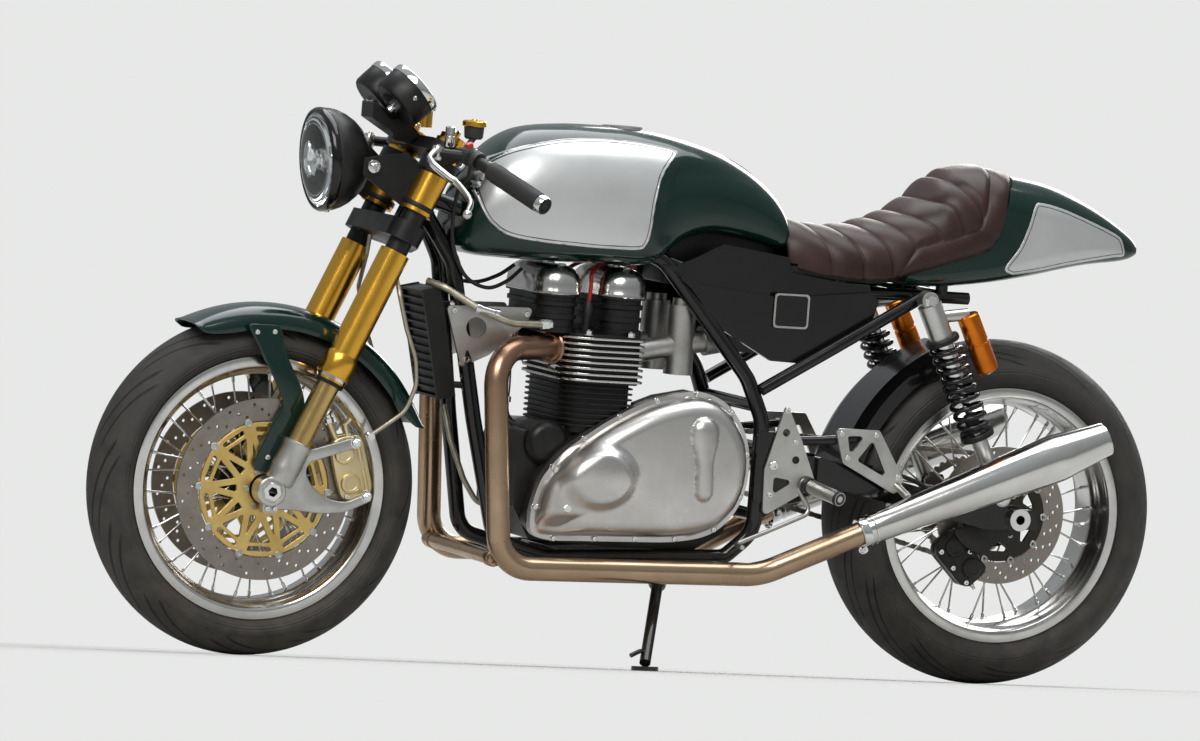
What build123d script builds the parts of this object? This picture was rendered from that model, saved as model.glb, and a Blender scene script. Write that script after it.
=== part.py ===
from build123d import *
from math import atan2, cos, degrees, pi, radians, sin, sqrt, tan
import os

# Cafe racer motorcycle, parked on its side stand.
# It is modelled upright in millimetres: the front wheel points along -X, its left side is -Y,
# +Z is up and z = 0 is the floor under the middle of the wheelbase.
# Every node is then leaned onto the side stand and moved so that the origin is the middle of
# the bottom of the whole motorcycle.

# Driving dimensions
WHEELBASE = 1420
LEAN = 6
RAKE = 24

# Wheels: the radius and half width of the tyre, and how far its shoulder lies under the crown
FRONT_TYRE_RADIUS = 300
FRONT_TYRE_HALF = 60
FRONT_SHOULDER_DROP = 36
REAR_TYRE_RADIUS = 315
REAR_TYRE_HALF = 90
REAR_SHOULDER_DROP = 46
SHOULDER_INSET = 4
RIM_RADIUS = 233
RIM_WELL_RADIUS = 198
RIM_BED_RADIUS = 221
RIM_WALL = 5
FRONT_RIM_HALF = 49
REAR_RIM_HALF = 74
SPOKE_COUNT = 36
SPOKE_RADIUS = 2.2
SPOKE_CROSS = 24
BEAD_GAP = 0.3

# Axles are hollow tubes, and their bores take the pins of a lifting stand
AXLE_RADIUS = 12.5
AXLE_BORE = 8.5
AXLE_GAP = 0.4
FRONT_AXLE_HALF = 118
REAR_AXLE_HALF = 152

# Hubs: the spoke flanges and the barrel between them
FRONT_FLANGE_Y = 32
FRONT_FLANGE_RADIUS = 50
REAR_FLANGE_Y = 38
REAR_FLANGE_RADIUS = 60
FLANGE_WALL = 6
HUB_BARREL_RADIUS = 27
REAR_BARREL_RADIUS = 36

# Brakes
FRONT_DISC_RADIUS = 160
FRONT_DISC_INNER = 121
FRONT_DISC_Y = 68
REAR_DISC_RADIUS = 125
REAR_DISC_INNER = 86
REAR_DISC_Y = 66
REAR_CALIPER_ANGLE = radians(225)
DISC_THICKNESS = 5
CARRIER_THICKNESS = 7
CARRIER_WINDOWS = 6
DISC_BUTTONS = 10
BUTTON_RADIUS = 7
CARRIER_BORE_MARGIN = 14
HOLE_ROWS = 20
HOLES_IN_ROW = 3
HOLE_SLANT = 0.3
HOLE_RADIUS = 3
HOLE_MARGIN = 10
PAD_GAP = 5.5

# Chain drive on the right
CHAIN_Y = 103
CHAIN_WIDTH = 15
CHAIN_HALF_DEPTH = 6.5
REAR_SPROCKET_RADIUS = 98
FRONT_SPROCKET_RADIUS = 42
FRONT_SPROCKET = (140, 396)
SPROCKET_THICKNESS = 6
SPROCKET_HOLES = 12
SPROCKET_HOLE_RADIUS = 7

# Fork and steering
FORK_Y = 100
AXLE_LEAD = 8
STEERING_OFFSET = 32
STANCHION_RADIUS = 21.5
FORK_RADIUS = 27
FORK_NECK_RADIUS = 20
FORK_RING_RADIUS = 29.5
LUG_RADIUS = 27
LUG_INNER_Y = 80
STEM_RADIUS = 14
HEAD_BORE_GAP = 0.6
HEAD_RADIUS = 27
LOWER_YOKE = (496, 530)
UPPER_YOKE = (662, 684)
HEAD_TUBE = (536, 656)
FORK_TOP = 702

# Frame tubes
TUBE_RADIUS = 14
REAR_TUBE_RADIUS = 11
PIVOT = (250, 398)
PIVOT_PLATE_Y = 146
PLATE_WALL = 6
ARM_INNER_Y = 114
ARM_WIDTH = 29
ARM_HEIGHT = 46
PIVOT_TUBE_RADIUS = 24

# Engine
CYLINDER_X = -130
CRANKCASE_HALF = 92
FIN_HALF_X = 92
HEAD_FIN_HALF_Y = 132
BARREL_FIN_HALF_Y = 122
FIN_THICKNESS = 3.2
BARREL_BASE = 440
BARREL_TOP = 522
HEAD_TOP = 604
ROCKER_TOP = 724
BARREL_FINS = 8
HEAD_FINS = 8

# Exhaust
PIPE_RADIUS = 21
HEADER_PORT_Y = 112

# Side stand, from its pivot to its foot, and where it lies when folded back
STAND_PIVOT = (32, -112, 172)
STAND_FOOT = (-35, -245)
STAND_FOLDED = (0.985, -0.17, 0.03)
STAND_TUBE_RADIUS = 10
STAND_PIN_RADIUS = 7

# Rear shocks: the places of their eyes, and the lengths along them from the upper eye
SHOCK_TOP = (489, 703)
SHOCK_BOTTOM = (662, 356)
SHOCK_Y = 163
SHOCK_EYE_INNER = 150
SHOCK_EYE_OUTER = 176
SHOCK_PIN_RADIUS = 8
SHOCK_EYE_RADIUS = 16
SPRING_START = 82
SPRING_END = 262
SPRING_RADIUS = 31
SPRING_TURNS = 9
HANGER_ARM_RADIUS = 8
SEAT_RAIL_Z = 706

# Fork lengths from the axle, and what hangs on it
STANCHION_START = 60
FORK_LOWER_START = 218
FORK_NECK_START = 474
FORK_RING_START = 552
FORK_CAP_START = 692
CLAMP_START = 630
CALIPER_BOLTS = ((-560, 392), (-533, 300))
CALIPER_ANGLE = radians(17)
CALIPER_MIDDLE = 160
FENDER_RADIUS = 321
FENDER_HALF = 67
FENDER_SKIRT = 42
FENDER_WALL = 3
FENDER_ANGLES = (118, 22)
LAMP_CENTRE = (-630, 880)
LAMP_RADIUS = 92
LAMP_TILT = radians(5)
LAMP_BOLT = (-562, 878)
LAMP_EAR_Y = 94
GAUGE_CENTRE = (-475, 1022)
GAUGE_TILT = radians(43)
GAUGE_RADIUS = 51
GAUGE_DEPTH = 70
GAUGE_Y = 56
BAR_RADIUS = 11
GRIP_RADIUS = 17
GRIP_LENGTH = 126
LEVER_RADIUS = 5
HOSE_RADIUS = 4

# Tank, seat and tail: stations along the body, each as
# x, half width, lower edge, upper edge, upper corner radius, lower corner radius
TANK_STATIONS = [
    (-372, 84, 738, 792, 24, 20),
    (-335, 104, 729, 884, 60, 24),
    (-255, 122, 728, 963, 75, 26),
    (-100, 130, 728, 972, 80, 26),
    (20, 124, 742, 961, 80, 26),
    (110, 108, 788, 941, 70, 24),
    (195, 92, 778, 897, 55, 22),
    (250, 78, 772, 826, 24, 20),
]
SEAT_STATIONS = [
    (254, 86, 742, 820, 22, 10),
    (340, 108, 730, 812, 26, 12),
    (420, 116, 727, 826, 30, 14),
    (500, 116, 724, 868, 36, 20),
    (570, 114, 728, 925, 55, 26),
    (660, 106, 740, 931, 60, 30),
    (760, 94, 760, 917, 60, 34),
    (860, 74, 780, 879, 42, 30),
    (930, 50, 790, 838, 20, 18),
    (956, 30, 800, 816, 7, 7),
]
# x and z of the edge where the seat's cover meets the tail, from front to back
SEAT_EDGE = [
    (462, 700), (464, 738), (473, 753), (550, 771), (627, 797), (649, 835), (656, 871), (664, 905), (700, 950),
]
SOFT_GAP = 0.4
PRIMARY_OUTER = 176
PRIMARY_INNER = 122
PRIMARY_BOSS = (-129, 357)
TIMING_OUTER = 138
ROCKER_BASE = 650
BRACKET_Y = 58.5
PANEL_Y = 103
# x and z of the plate behind the side panel that closes the gap up to the tank and the seat
PANEL_BACK = [
    (-2, 736), (22, 735), (60, 752), (110, 779), (195, 768), (238, 762), (246, 735), (340, 723),
    (400, 720), (404, 702), (225, 684), (66, 700),
]
SILENCER_START = (374, 213, 284)
SILENCER_END = (836, 230, 478)
SILENCER_RADIUS = 43
HANGER_Y = 166.4
# the hollow under the tank that the frame's tubes run through: x from, x to, half width, top
TUNNEL_STEPS = [(-420, -229, 70, 846), (-240, 66, 109, 799)]
TUNNEL_BOTTOM = 600
# x, y, foot and top of the rubber mounts that the tank, the seat and the tail rest on
RUBBER_MOUNTS = [(-300, 39, 786, 846), (-100, 71, 757, 799), (340, 85, 706, 746), (548, 88, 706, 746)]
COOLER_TOP = (-420, 668)
COOLER_FOOT = (-376, 476)
COOLER_HALF = 58
COOLER_DEPTH = 34
COOLER_FINS = 14
HUGGER_RADIUS = 327
HUGGER_ANGLES = (168, 112)
HUGGER_HALF = 84

# Derived places
def crown_radius(half, drop):
    """Radius of the round tread of a tyre, from its shoulder's place."""
    return ((half - SHOULDER_INSET) ** 2 + drop**2) / (2 * drop)


FRONT_CROWN_RADIUS = crown_radius(FRONT_TYRE_HALF, FRONT_SHOULDER_DROP)
REAR_CROWN_RADIUS = crown_radius(REAR_TYRE_HALF, REAR_SHOULDER_DROP)


def axle_height(tyre_radius, crown):
    """Height of an axle whose round tyre touches the floor when the motorcycle leans."""
    return tyre_radius - crown + crown / cos(radians(LEAN))


FRONT_AXLE = (-WHEELBASE / 2, axle_height(FRONT_TYRE_RADIUS, FRONT_CROWN_RADIUS))
REAR_AXLE = (WHEELBASE / 2, axle_height(REAR_TYRE_RADIUS, REAR_CROWN_RADIUS))

# The fork's own frame: local z runs up the fork from the axle, local y is the motorcycle's y,
# and local x points backwards, square to the fork.
FORK_FRAME = Plane(
    origin=(FRONT_AXLE[0], 0, FRONT_AXLE[1]),
    x_dir=(cos(radians(RAKE)), 0, -sin(radians(RAKE))),
    z_dir=(sin(radians(RAKE)), 0, cos(radians(RAKE))),
)
STEERING_X = AXLE_LEAD + STEERING_OFFSET
FLOOR_SLOPE = tan(radians(LEAN))


def fork_point(x, y, z):
    """A point of the fork's frame in the motorcycle's frame."""
    return FORK_FRAME.from_local_coords(Vector(x, y, z))


# Shapes that many pieces share
def cylinder_between(start, end, radius):
    """A solid cylinder from one point to another."""
    start, end = Vector(*start), Vector(*end)
    return extrude(Plane(origin=start, z_dir=end - start) * Circle(radius), (end - start).length)


def tube_along(points, radius, bends):
    """A round bar along straight runs joined by tangent arcs, one bend radius for each corner."""
    path = FilletPolyline(*points, radius=bends)
    return sweep(Plane(origin=path @ 0, z_dir=path % 0) * Circle(radius), path=path)


def lathe_y(centre, profile):
    """Turn an outline of (radius, y) points about the sideways line through centre (x, z)."""
    outline = Polyline(*[(centre[0] + r, y, centre[1]) for r, y in profile], close=True)
    axis = Axis((centre[0], 0, centre[1]), (0, 1, 0))
    return revolve(make_face(outline), axis)


def drum_y(centre, radius, y0, y1):
    """A round drum about the sideways line through centre (x, z), from y0 to y1."""
    return cylinder_between((centre[0], y0, centre[1]), (centre[0], y1, centre[1]), radius)


def plate_y(points, y0, y1, corner=0.0):
    """A flat plate with an outline of (x, z) points, from y0 to y1, with rounded corners."""
    outline = make_face(Polyline(*[(x, z) for x, z in points], close=True))
    if corner:
        outline = fillet(outline.vertices(), corner)
    face = Plane(origin=(0, max(y0, y1), 0), x_dir=(1, 0, 0), z_dir=(0, -1, 0)) * outline
    return extrude(face, abs(y1 - y0))


def block(x0, x1, y0, y1, z0, z1):
    """A box between two corners."""
    return Pos((x0 + x1) / 2, (y0 + y1) / 2, (z0 + z1) / 2) * Box(abs(x1 - x0), abs(y1 - y0), abs(z1 - z0))


def mirrored(solid):
    """The same piece on the other side of the motorcycle."""
    return mirror(solid, about=Plane.XZ)


def both_sides(solid):
    """A piece and its mirror image."""
    return [solid, mirrored(solid)]


def body_section(x, half, z0, z1, top, bottom):
    """A cross-section of a body panel with rounded upper and lower corners."""
    outline = make_face(Polyline((-half, z0), (half, z0), (half, z1), (-half, z1), close=True))
    corners = outline.vertices().sort_by(Axis.Y)
    outline = fillet(corners[2:], top)
    corners = outline.vertices().sort_by(Axis.Y)
    outline = fillet(corners[:2], bottom)
    return Plane(origin=(x, 0, 0), x_dir=(0, 1, 0), z_dir=(1, 0, 0)) * outline


def lofted_body(rows):
    """A smooth body through the cross-sections of a table."""
    return loft([body_section(*row) for row in rows])


# Wheels
def tyre(centre, radius, half, drop, rim_half):
    """A tyre with a round tread and bulged walls, filled down to the bed of its rim."""
    shoulder = (half - SHOULDER_INSET, radius - drop)
    bead = (rim_half - RIM_WALL - BEAD_GAP, RIM_RADIUS)
    bulge = (half, (shoulder[1] * 2 + bead[1]) / 3)
    foot = (rim_half - RIM_WALL - BEAD_GAP, RIM_BED_RADIUS + 2 * BEAD_GAP)

    def at(point, side):
        return (centre[0] + point[1], side * point[0], centre[1])

    tread = ThreePointArc(at(shoulder, -1), (centre[0] + radius, 0, centre[1]), at(shoulder, 1))
    right = ThreePointArc(at(shoulder, 1), at(bulge, 1), at(bead, 1))
    left = ThreePointArc(at(bead, -1), at(bulge, -1), at(shoulder, -1))
    floor = Polyline(at(bead, 1), at(foot, 1), at(foot, -1), at(bead, -1))
    return revolve(make_face([tread, right, floor, left]), Axis((centre[0], 0, centre[1]), (0, 1, 0)))


def rim(centre, half):
    """A spoked wheel's rim, with a flange at each edge and a drop centre."""
    well = RIM_WELL_RADIUS
    bed = RIM_BED_RADIUS
    side = [
        (well, 0), (well, half * 0.45), (well + 9, half * 0.68), (well + 14, half),
        (RIM_RADIUS, half), (RIM_RADIUS, half - RIM_WALL), (bed, half - RIM_WALL),
        (bed, half * 0.62), (well + 14, half * 0.5), (well + 14, 0),
    ]
    profile = side + [(r, -y) for r, y in reversed(side[1:-1])]
    return lathe_y(centre, profile)


def spokes(centre, flange_y, flange_radius, count):
    """Crossed spokes from the hub's flanges to the rim's well."""
    bars = []
    for index in range(count):
        side = 1 if index % 2 else -1
        lean = SPOKE_CROSS if (index // 2) % 2 else -SPOKE_CROSS
        rim_angle = 2 * pi * (index + 0.5) / count
        hub_angle = rim_angle + radians(lean)
        inner = flange_radius - FLANGE_WALL
        outer = RIM_WELL_RADIUS + 4
        start = (centre[0] + inner * cos(hub_angle), side * flange_y, centre[1] + inner * sin(hub_angle))
        end = (centre[0] + outer * cos(rim_angle), side * flange_y * 0.3, centre[1] + outer * sin(rim_angle))
        bars.append(cylinder_between(start, end, SPOKE_RADIUS))
    return bars


def front_hub():
    """The front hub with two spoke flanges and a face at each end for a brake disc."""
    bore = AXLE_RADIUS + AXLE_GAP
    flange = FRONT_FLANGE_RADIUS
    face = FRONT_DISC_Y - CARRIER_THICKNESS / 2
    side = [
        (HUB_BARREL_RADIUS, FRONT_FLANGE_Y - FLANGE_WALL), (flange, FRONT_FLANGE_Y - FLANGE_WALL / 2),
        (flange, FRONT_FLANGE_Y + FLANGE_WALL / 2), (HUB_BARREL_RADIUS + 8, FRONT_FLANGE_Y + FLANGE_WALL),
        (HUB_BARREL_RADIUS + 12, face), (bore, face),
    ]
    return lathe_y(FRONT_AXLE, side + [(r, -y) for r, y in reversed(side)])


def rear_hub():
    """The rear hub, with the disc's face on the left and the sprocket's drum on the right."""
    bore = AXLE_RADIUS + AXLE_GAP
    flange, barrel = REAR_FLANGE_RADIUS, REAR_BARREL_RADIUS
    left = REAR_DISC_Y - CARRIER_THICKNESS / 2
    right = CHAIN_Y - SPROCKET_THICKNESS / 2
    profile = [
        (bore, -left), (barrel + 14, -left), (barrel + 8, -REAR_FLANGE_Y - FLANGE_WALL),
        (flange, -REAR_FLANGE_Y - FLANGE_WALL / 2), (flange, -REAR_FLANGE_Y + FLANGE_WALL / 2),
        (barrel, -REAR_FLANGE_Y + FLANGE_WALL), (barrel, REAR_FLANGE_Y - FLANGE_WALL),
        (flange, REAR_FLANGE_Y - FLANGE_WALL / 2), (flange, REAR_FLANGE_Y + FLANGE_WALL / 2),
        (barrel + 20, REAR_FLANGE_Y + FLANGE_WALL), (barrel + 20, right), (bore, right),
    ]
    return lathe_y(REAR_AXLE, profile)


def laced_wheel(centre, half, hub, flange_y, flange_radius):
    """A rim and a hub joined by their spokes, as one piece."""
    return Part() + [rim(centre, half), hub] + spokes(centre, flange_y, flange_radius, SPOKE_COUNT)


def disc_holes(centre, y, outer, inner):
    """Rows of small holes across a friction ring, each row slanted backwards."""
    holes = []
    for row in range(HOLE_ROWS):
        for step in range(HOLES_IN_ROW):
            reach = inner + HOLE_MARGIN + (outer - inner - 2 * HOLE_MARGIN) * step / (HOLES_IN_ROW - 1)
            angle = 2 * pi * (row + HOLE_SLANT * step) / HOLE_ROWS
            place = (centre[0] + reach * cos(angle), centre[1] + reach * sin(angle))
            holes.append(drum_y(place, HOLE_RADIUS, y - DISC_THICKNESS, y + DISC_THICKNESS))
    return holes


def disc(centre, y, outer, inner):
    """A brake disc: a friction ring joined by round bobbins to a spider with triangular windows."""
    half = DISC_THICKNESS / 2
    ring = lathe_y(centre, [(inner, y - half), (outer, y - half), (outer, y + half), (inner, y + half)])
    ring -= disc_holes(centre, y, outer, inner)
    half = CARRIER_THICKNESS / 2
    edge, bore = inner - 2, AXLE_RADIUS + CARRIER_BORE_MARGIN
    spider = lathe_y(centre, [(bore, y - half), (edge, y - half), (edge, y + half), (bore, y + half)])
    for index in range(CARRIER_WINDOWS):
        middle = 2 * pi * (index + 0.5) / CARRIER_WINDOWS
        spread = pi / CARRIER_WINDOWS - 0.13
        rows = [(edge - 13, middle - spread), (edge - 13, middle + spread), (bore + 22, middle)]
        corners = [(centre[0] + r * cos(a), centre[1] + r * sin(a)) for r, a in rows]
        spider -= plate_y(corners, y - CARRIER_THICKNESS, y + CARRIER_THICKNESS, 4)
    bobbins = []
    for index in range(DISC_BUTTONS):
        angle = 2 * pi * index / DISC_BUTTONS
        place = (centre[0] + (inner - 1) * cos(angle), centre[1] + (inner - 1) * sin(angle))
        bobbins.append(drum_y(place, BUTTON_RADIUS, y - half - 1, y + half + 1))
    return Part() + [ring, spider] + bobbins


def rear_sprocket():
    """The driven sprocket, seated on the face of the hub's drum."""
    y0, y1 = CHAIN_Y - SPROCKET_THICKNESS / 2, CHAIN_Y + SPROCKET_THICKNESS / 2
    edge = REAR_SPROCKET_RADIUS - CHAIN_HALF_DEPTH - PAD_GAP
    bore = AXLE_RADIUS + AXLE_GAP
    sprocket = lathe_y(REAR_AXLE, [(bore, y0), (edge, y0), (edge, y1), (bore, y1)])
    for index in range(SPROCKET_HOLES):
        angle = 2 * pi * index / SPROCKET_HOLES
        reach = edge - SPROCKET_HOLE_RADIUS - 5
        place = (REAR_AXLE[0] + reach * cos(angle), REAR_AXLE[1] + reach * sin(angle))
        sprocket -= drum_y(place, SPROCKET_HOLE_RADIUS, y0 - 1, y1 + 1)
    return sprocket


# Frame
def frame_tubes():
    """The frame: two tube loops, the steering head, cross tubes, pivot plates and the seat rails."""
    loops = []
    for side in (-1, 1):
        # x, y, z of the corners of one loop, from the top of the head round to its bottom
        corners = [
            (-426, 14 * side, 828), (-225, 54 * side, 766), (0, 86 * side, 749), (168, 122 * side, 545),
            (200, 130 * side, 470), (200, 130 * side, 270), (150, 122 * side, 222), (-185, 100 * side, 206),
            (-278, 88 * side, 232), (-324, 62 * side, 440), (-376, 36 * side, 716), (-428, 12 * side, 800),
        ]
        loops.append(tube_along(corners, TUBE_RADIUS, [120, 60, 90, 70, 60, 30, 70, 50, 90, 60]))
    head_low = fork_point(STEERING_X, 0, HEAD_TUBE[0])
    head_high = fork_point(STEERING_X, 0, HEAD_TUBE[1])
    frame = Part() + [cylinder_between(head_low, head_high, HEAD_RADIUS)] + loops
    # x, y, z of each cross tube's left end
    for x, y, z in [(-90, 72, 757), (200, 130, 300), (189, 127, 495), (-150, 102, 208)]:
        frame += drum_y((x, z), TUBE_RADIUS * 0.8, -y, y)
    for side in (-1, 1):
        plate = [(188, 452), (188, 318), (216, 330), (276, 372), (278, 418), (240, 452)]
        frame += plate_y(plate, side * (PIVOT_PLATE_Y - PLATE_WALL), side * PIVOT_PLATE_Y, 10)
        rails = [(194, 128 * side, 524), (330, 128 * side, 606), (SHOCK_TOP[0], 126 * side, SHOCK_TOP[1])]
        frame += tube_along(rails, REAR_TUBE_RADIUS, [200])
        seat_rail = [
            (4, 86 * side, 744), (130, 84 * side, SEAT_RAIL_Z + 1), (300, 84 * side, SEAT_RAIL_Z),
            (600, 90 * side, SEAT_RAIL_Z),
        ]
        frame += tube_along(seat_rail, REAR_TUBE_RADIUS, [150, 200])
        hanger_arm = [(250, 138 * side, 436), (300, 150 * side, 440), (372, 158 * side, 448)]
        frame += tube_along(hanger_arm, HANGER_ARM_RADIUS, [60])
    frame += drum_y(SHOCK_TOP, SHOCK_PIN_RADIUS, -SHOCK_EYE_OUTER, SHOCK_EYE_OUTER)
    for x, y in [(578, 88), (290, 84)]:
        frame += drum_y((x, SEAT_RAIL_Z), REAR_TUBE_RADIUS * 0.8, -y, y)
    for x, y, z, top in RUBBER_MOUNTS:
        for side in (-1, 1):
            frame += cylinder_between((x, side * y, z), (x, side * y, top), 11)
    frame += stand_bracket()
    frame -= cylinder_between(head_low, head_high, STEM_RADIUS + HEAD_BORE_GAP)
    return frame


def swing_arm():
    """The swinging arm: its pivot tube, two arms, a brace and the ends that clamp the axle."""
    arm_outer = ARM_INNER_Y + ARM_WIDTH
    half = ARM_HEIGHT / 2
    pivot_x, pivot_z = PIVOT
    axle_x, axle_z = REAR_AXLE
    arm = Part() + drum_y(PIVOT, PIVOT_TUBE_RADIUS, -ARM_INNER_Y - 20, ARM_INNER_Y + 20)
    for side in (-1, 1):
        outline = [
            (pivot_x, pivot_z + half), (axle_x - 60, axle_z + half - 4), (axle_x + 36, axle_z + half - 6),
            (axle_x + 42, axle_z - half + 6), (axle_x - 60, axle_z - half + 2), (pivot_x, pivot_z - half),
        ]
        front_y = ARM_INNER_Y + 20
        arm += plate_y(outline, side * ARM_INNER_Y, side * front_y, 5)
        outline[0], outline[-1] = (pivot_x + 60, pivot_z + half - 10), (pivot_x + 60, pivot_z - half - 6)
        arm += plate_y(outline, side * ARM_INNER_Y, side * arm_outer, 5)
    arm += cylinder_between((345, -ARM_INNER_Y, 384), (345, ARM_INNER_Y, 384), 17)
    for side in (-1, 1):
        low_x, low_z = SHOCK_BOTTOM
        lug = [(low_x - 34, axle_z), (low_x + 34, axle_z), (low_x + 14, low_z + 14), (low_x - 14, low_z + 14)]
        arm += plate_y(lug, side * (ARM_INNER_Y + 8), side * arm_outer, 6)
        arm += drum_y(SHOCK_BOTTOM, SHOCK_PIN_RADIUS, side * arm_outer, side * SHOCK_EYE_OUTER)
    arm -= drum_y(REAR_AXLE, AXLE_RADIUS, -REAR_AXLE_HALF, REAR_AXLE_HALF)
    return arm


# Side stand
def stand_places():
    """The stand's pivot, its foot on the floor, its hinge axis and the way its leg points."""
    pivot = Vector(*STAND_PIVOT)
    foot = Vector(STAND_FOOT[0], STAND_FOOT[1], -STAND_FOOT[1] * FLOOR_SLOPE)
    leg = (foot - pivot).normalized()
    axis = leg.cross(Vector(*STAND_FOLDED)).normalized()
    return pivot, foot, axis, leg


def stand_bracket():
    """The frame's pin that carries the side stand."""
    pivot, foot, axis, leg = stand_places()
    pin = cylinder_between(pivot - axis * 13, pivot + axis * 26, STAND_PIN_RADIUS)
    post = cylinder_between((pivot.X, pivot.Y, pivot.Z + 42), pivot + axis * 20, 9)
    return [pin, post]


def side_stand():
    """The side stand: an eye round the frame's pin, a leg, a tang for the boot and a foot pad."""
    pivot, foot, axis, leg = stand_places()
    normal = Vector(0, sin(radians(LEAN)), cos(radians(LEAN)))
    stand = Part() + cylinder_between(pivot - axis * 8, pivot + axis * 8, 16)
    stand += cylinder_between(pivot, foot + normal * 14, STAND_TUBE_RADIUS)
    stand += cylinder_between(foot, foot + normal * 8, 24)
    tang = foot - leg * 46
    stand += tube_along([tang, tang + Vector(-26, -26, 2), tang + Vector(-44, -30, -6)], 4, [12])
    return stand - cylinder_between(pivot - axis * 20, pivot + axis * 20, STAND_PIN_RADIUS + 0.4)


# Main groups of the motorcycle; each returns its nodes by name
def wheel_nodes():
    """Both wheels with their tyres, discs and sprocket."""
    front = tyre(FRONT_AXLE, FRONT_TYRE_RADIUS, FRONT_TYRE_HALF, FRONT_SHOULDER_DROP, FRONT_RIM_HALF)
    rear = tyre(REAR_AXLE, REAR_TYRE_RADIUS, REAR_TYRE_HALF, REAR_SHOULDER_DROP, REAR_RIM_HALF)
    front_laced = laced_wheel(FRONT_AXLE, FRONT_RIM_HALF, front_hub(), FRONT_FLANGE_Y, FRONT_FLANGE_RADIUS)
    rear_laced = laced_wheel(REAR_AXLE, REAR_RIM_HALF, rear_hub(), REAR_FLANGE_Y, REAR_FLANGE_RADIUS)
    front_disc = disc(FRONT_AXLE, -FRONT_DISC_Y, FRONT_DISC_RADIUS, FRONT_DISC_INNER)
    return {
        "front_tyre": [front],
        "front_laced_wheel": [front_laced],
        "front_discs": both_sides(front_disc),
        "rear_tyre": [rear],
        "rear_laced_wheel": [rear_laced],
        "rear_disc": [disc(REAR_AXLE, -REAR_DISC_Y, REAR_DISC_RADIUS, REAR_DISC_INNER)],
        "rear_sprocket": [rear_sprocket()],
    }


# Fork, yokes and what turns with them
def fork_bar(side, start, end, radius):
    """A round bar along one fork leg, between two distances from the axle."""
    y = side * FORK_Y
    return cylinder_between(fork_point(AXLE_LEAD, y, start), fork_point(AXLE_LEAD, y, end), radius)


def yoke(start, end, clamp_radius, boss_radius):
    """One fork yoke: two clamps joined to the boss round the steering stem."""
    plane = FORK_FRAME.offset(start)
    clamps = [Pos(AXLE_LEAD, side * FORK_Y) * Circle(clamp_radius) for side in (-1, 1)]
    boss = Pos(STEERING_X, 0) * Circle(boss_radius)
    outline = make_hull((Sketch() + clamps + [boss]).edges())
    return extrude(plane * outline, end - start)


def fork_nodes():
    """The fork legs, their lugs, the yokes with the stem, and the front axle."""
    sides = (-1, 1)
    stanchions = [fork_bar(s, STANCHION_START, FORK_LOWER_START, STANCHION_RADIUS) for s in sides]
    lower_tubes = [fork_bar(s, FORK_LOWER_START, FORK_NECK_START, FORK_RADIUS) for s in sides]
    necks = [fork_bar(s, FORK_NECK_START, FORK_RING_START, FORK_NECK_RADIUS) for s in sides]
    upper_tubes = []
    for s in sides:
        upper = fork_bar(s, FORK_RING_START, FORK_RING_START + 16, FORK_RING_RADIUS)
        upper += fork_bar(s, FORK_RING_START, FORK_CAP_START, FORK_RADIUS)
        upper += fork_bar(s, FORK_CAP_START, FORK_TOP, FORK_RADIUS - 4)
        upper_tubes.append(upper + fork_bar(s, FORK_TOP, FORK_TOP + 8, 9))
    axle = drum_y(FRONT_AXLE, AXLE_RADIUS, -FRONT_AXLE_HALF, FRONT_AXLE_HALF)
    lugs = []
    for s, stanchion in zip(sides, stanchions):
        lug = drum_y(FRONT_AXLE, LUG_RADIUS, s * LUG_INNER_Y, s * FRONT_AXLE_HALF)
        lug += fork_bar(s, 0, STANCHION_START + 36, LUG_RADIUS) & block(-1000, 0, s * LUG_INNER_Y, s * 140, 0, 900)
        for x, z in CALIPER_BOLTS:
            lug += cylinder_between((FRONT_AXLE[0] + 14, s * 96, FRONT_AXLE[1] + 60), (x, s * 96, z), 8)
        lug -= drum_y(FRONT_AXLE, LUG_RADIUS + 1, s * FRONT_AXLE_HALF, s * (FRONT_AXLE_HALF + 30))
        lugs.append(lug - axle - stanchion)
    bore = drum_y(FRONT_AXLE, AXLE_BORE, -FRONT_AXLE_HALF, FRONT_AXLE_HALF)
    lower = Part() + [yoke(*LOWER_YOKE, 33, 30)] + necks
    upper = yoke(*UPPER_YOKE, 35, 28) - upper_tubes
    stem_foot, stem_top = fork_point(STEERING_X, 0, LOWER_YOKE[0]), fork_point(STEERING_X, 0, UPPER_YOKE[1] + 10)
    stem = cylinder_between(stem_foot, stem_top, STEM_RADIUS)
    return {
        "fork_stanchions": stanchions,
        "fork_tubes": lower_tubes + upper_tubes,
        "fork_lugs": lugs,
        "fork_yokes": [lower + upper + stem],
        "front_axle": [axle - bore],
    }


def front_calipers():
    """The two front calipers, each slotted over its disc behind the fork leg."""
    calipers = []
    for side in (-1, 1):
        plane = Plane(
            origin=(FRONT_AXLE[0], 0, FRONT_AXLE[1]),
            x_dir=(cos(CALIPER_ANGLE), 0, sin(CALIPER_ANGLE)),
            z_dir=(0, -1, 0),
        )
        middle = side * -FRONT_DISC_Y
        body = Pos(CALIPER_MIDDLE, 0, middle - 23) * extrude(RectangleRounded(64, 116, 12), 46)
        body -= Pos(CALIPER_MIDDLE - 20, 0, middle) * Box(80, 130, DISC_THICKNESS + 2 * PAD_GAP)
        calipers.append(plane * body)
    return calipers


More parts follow.
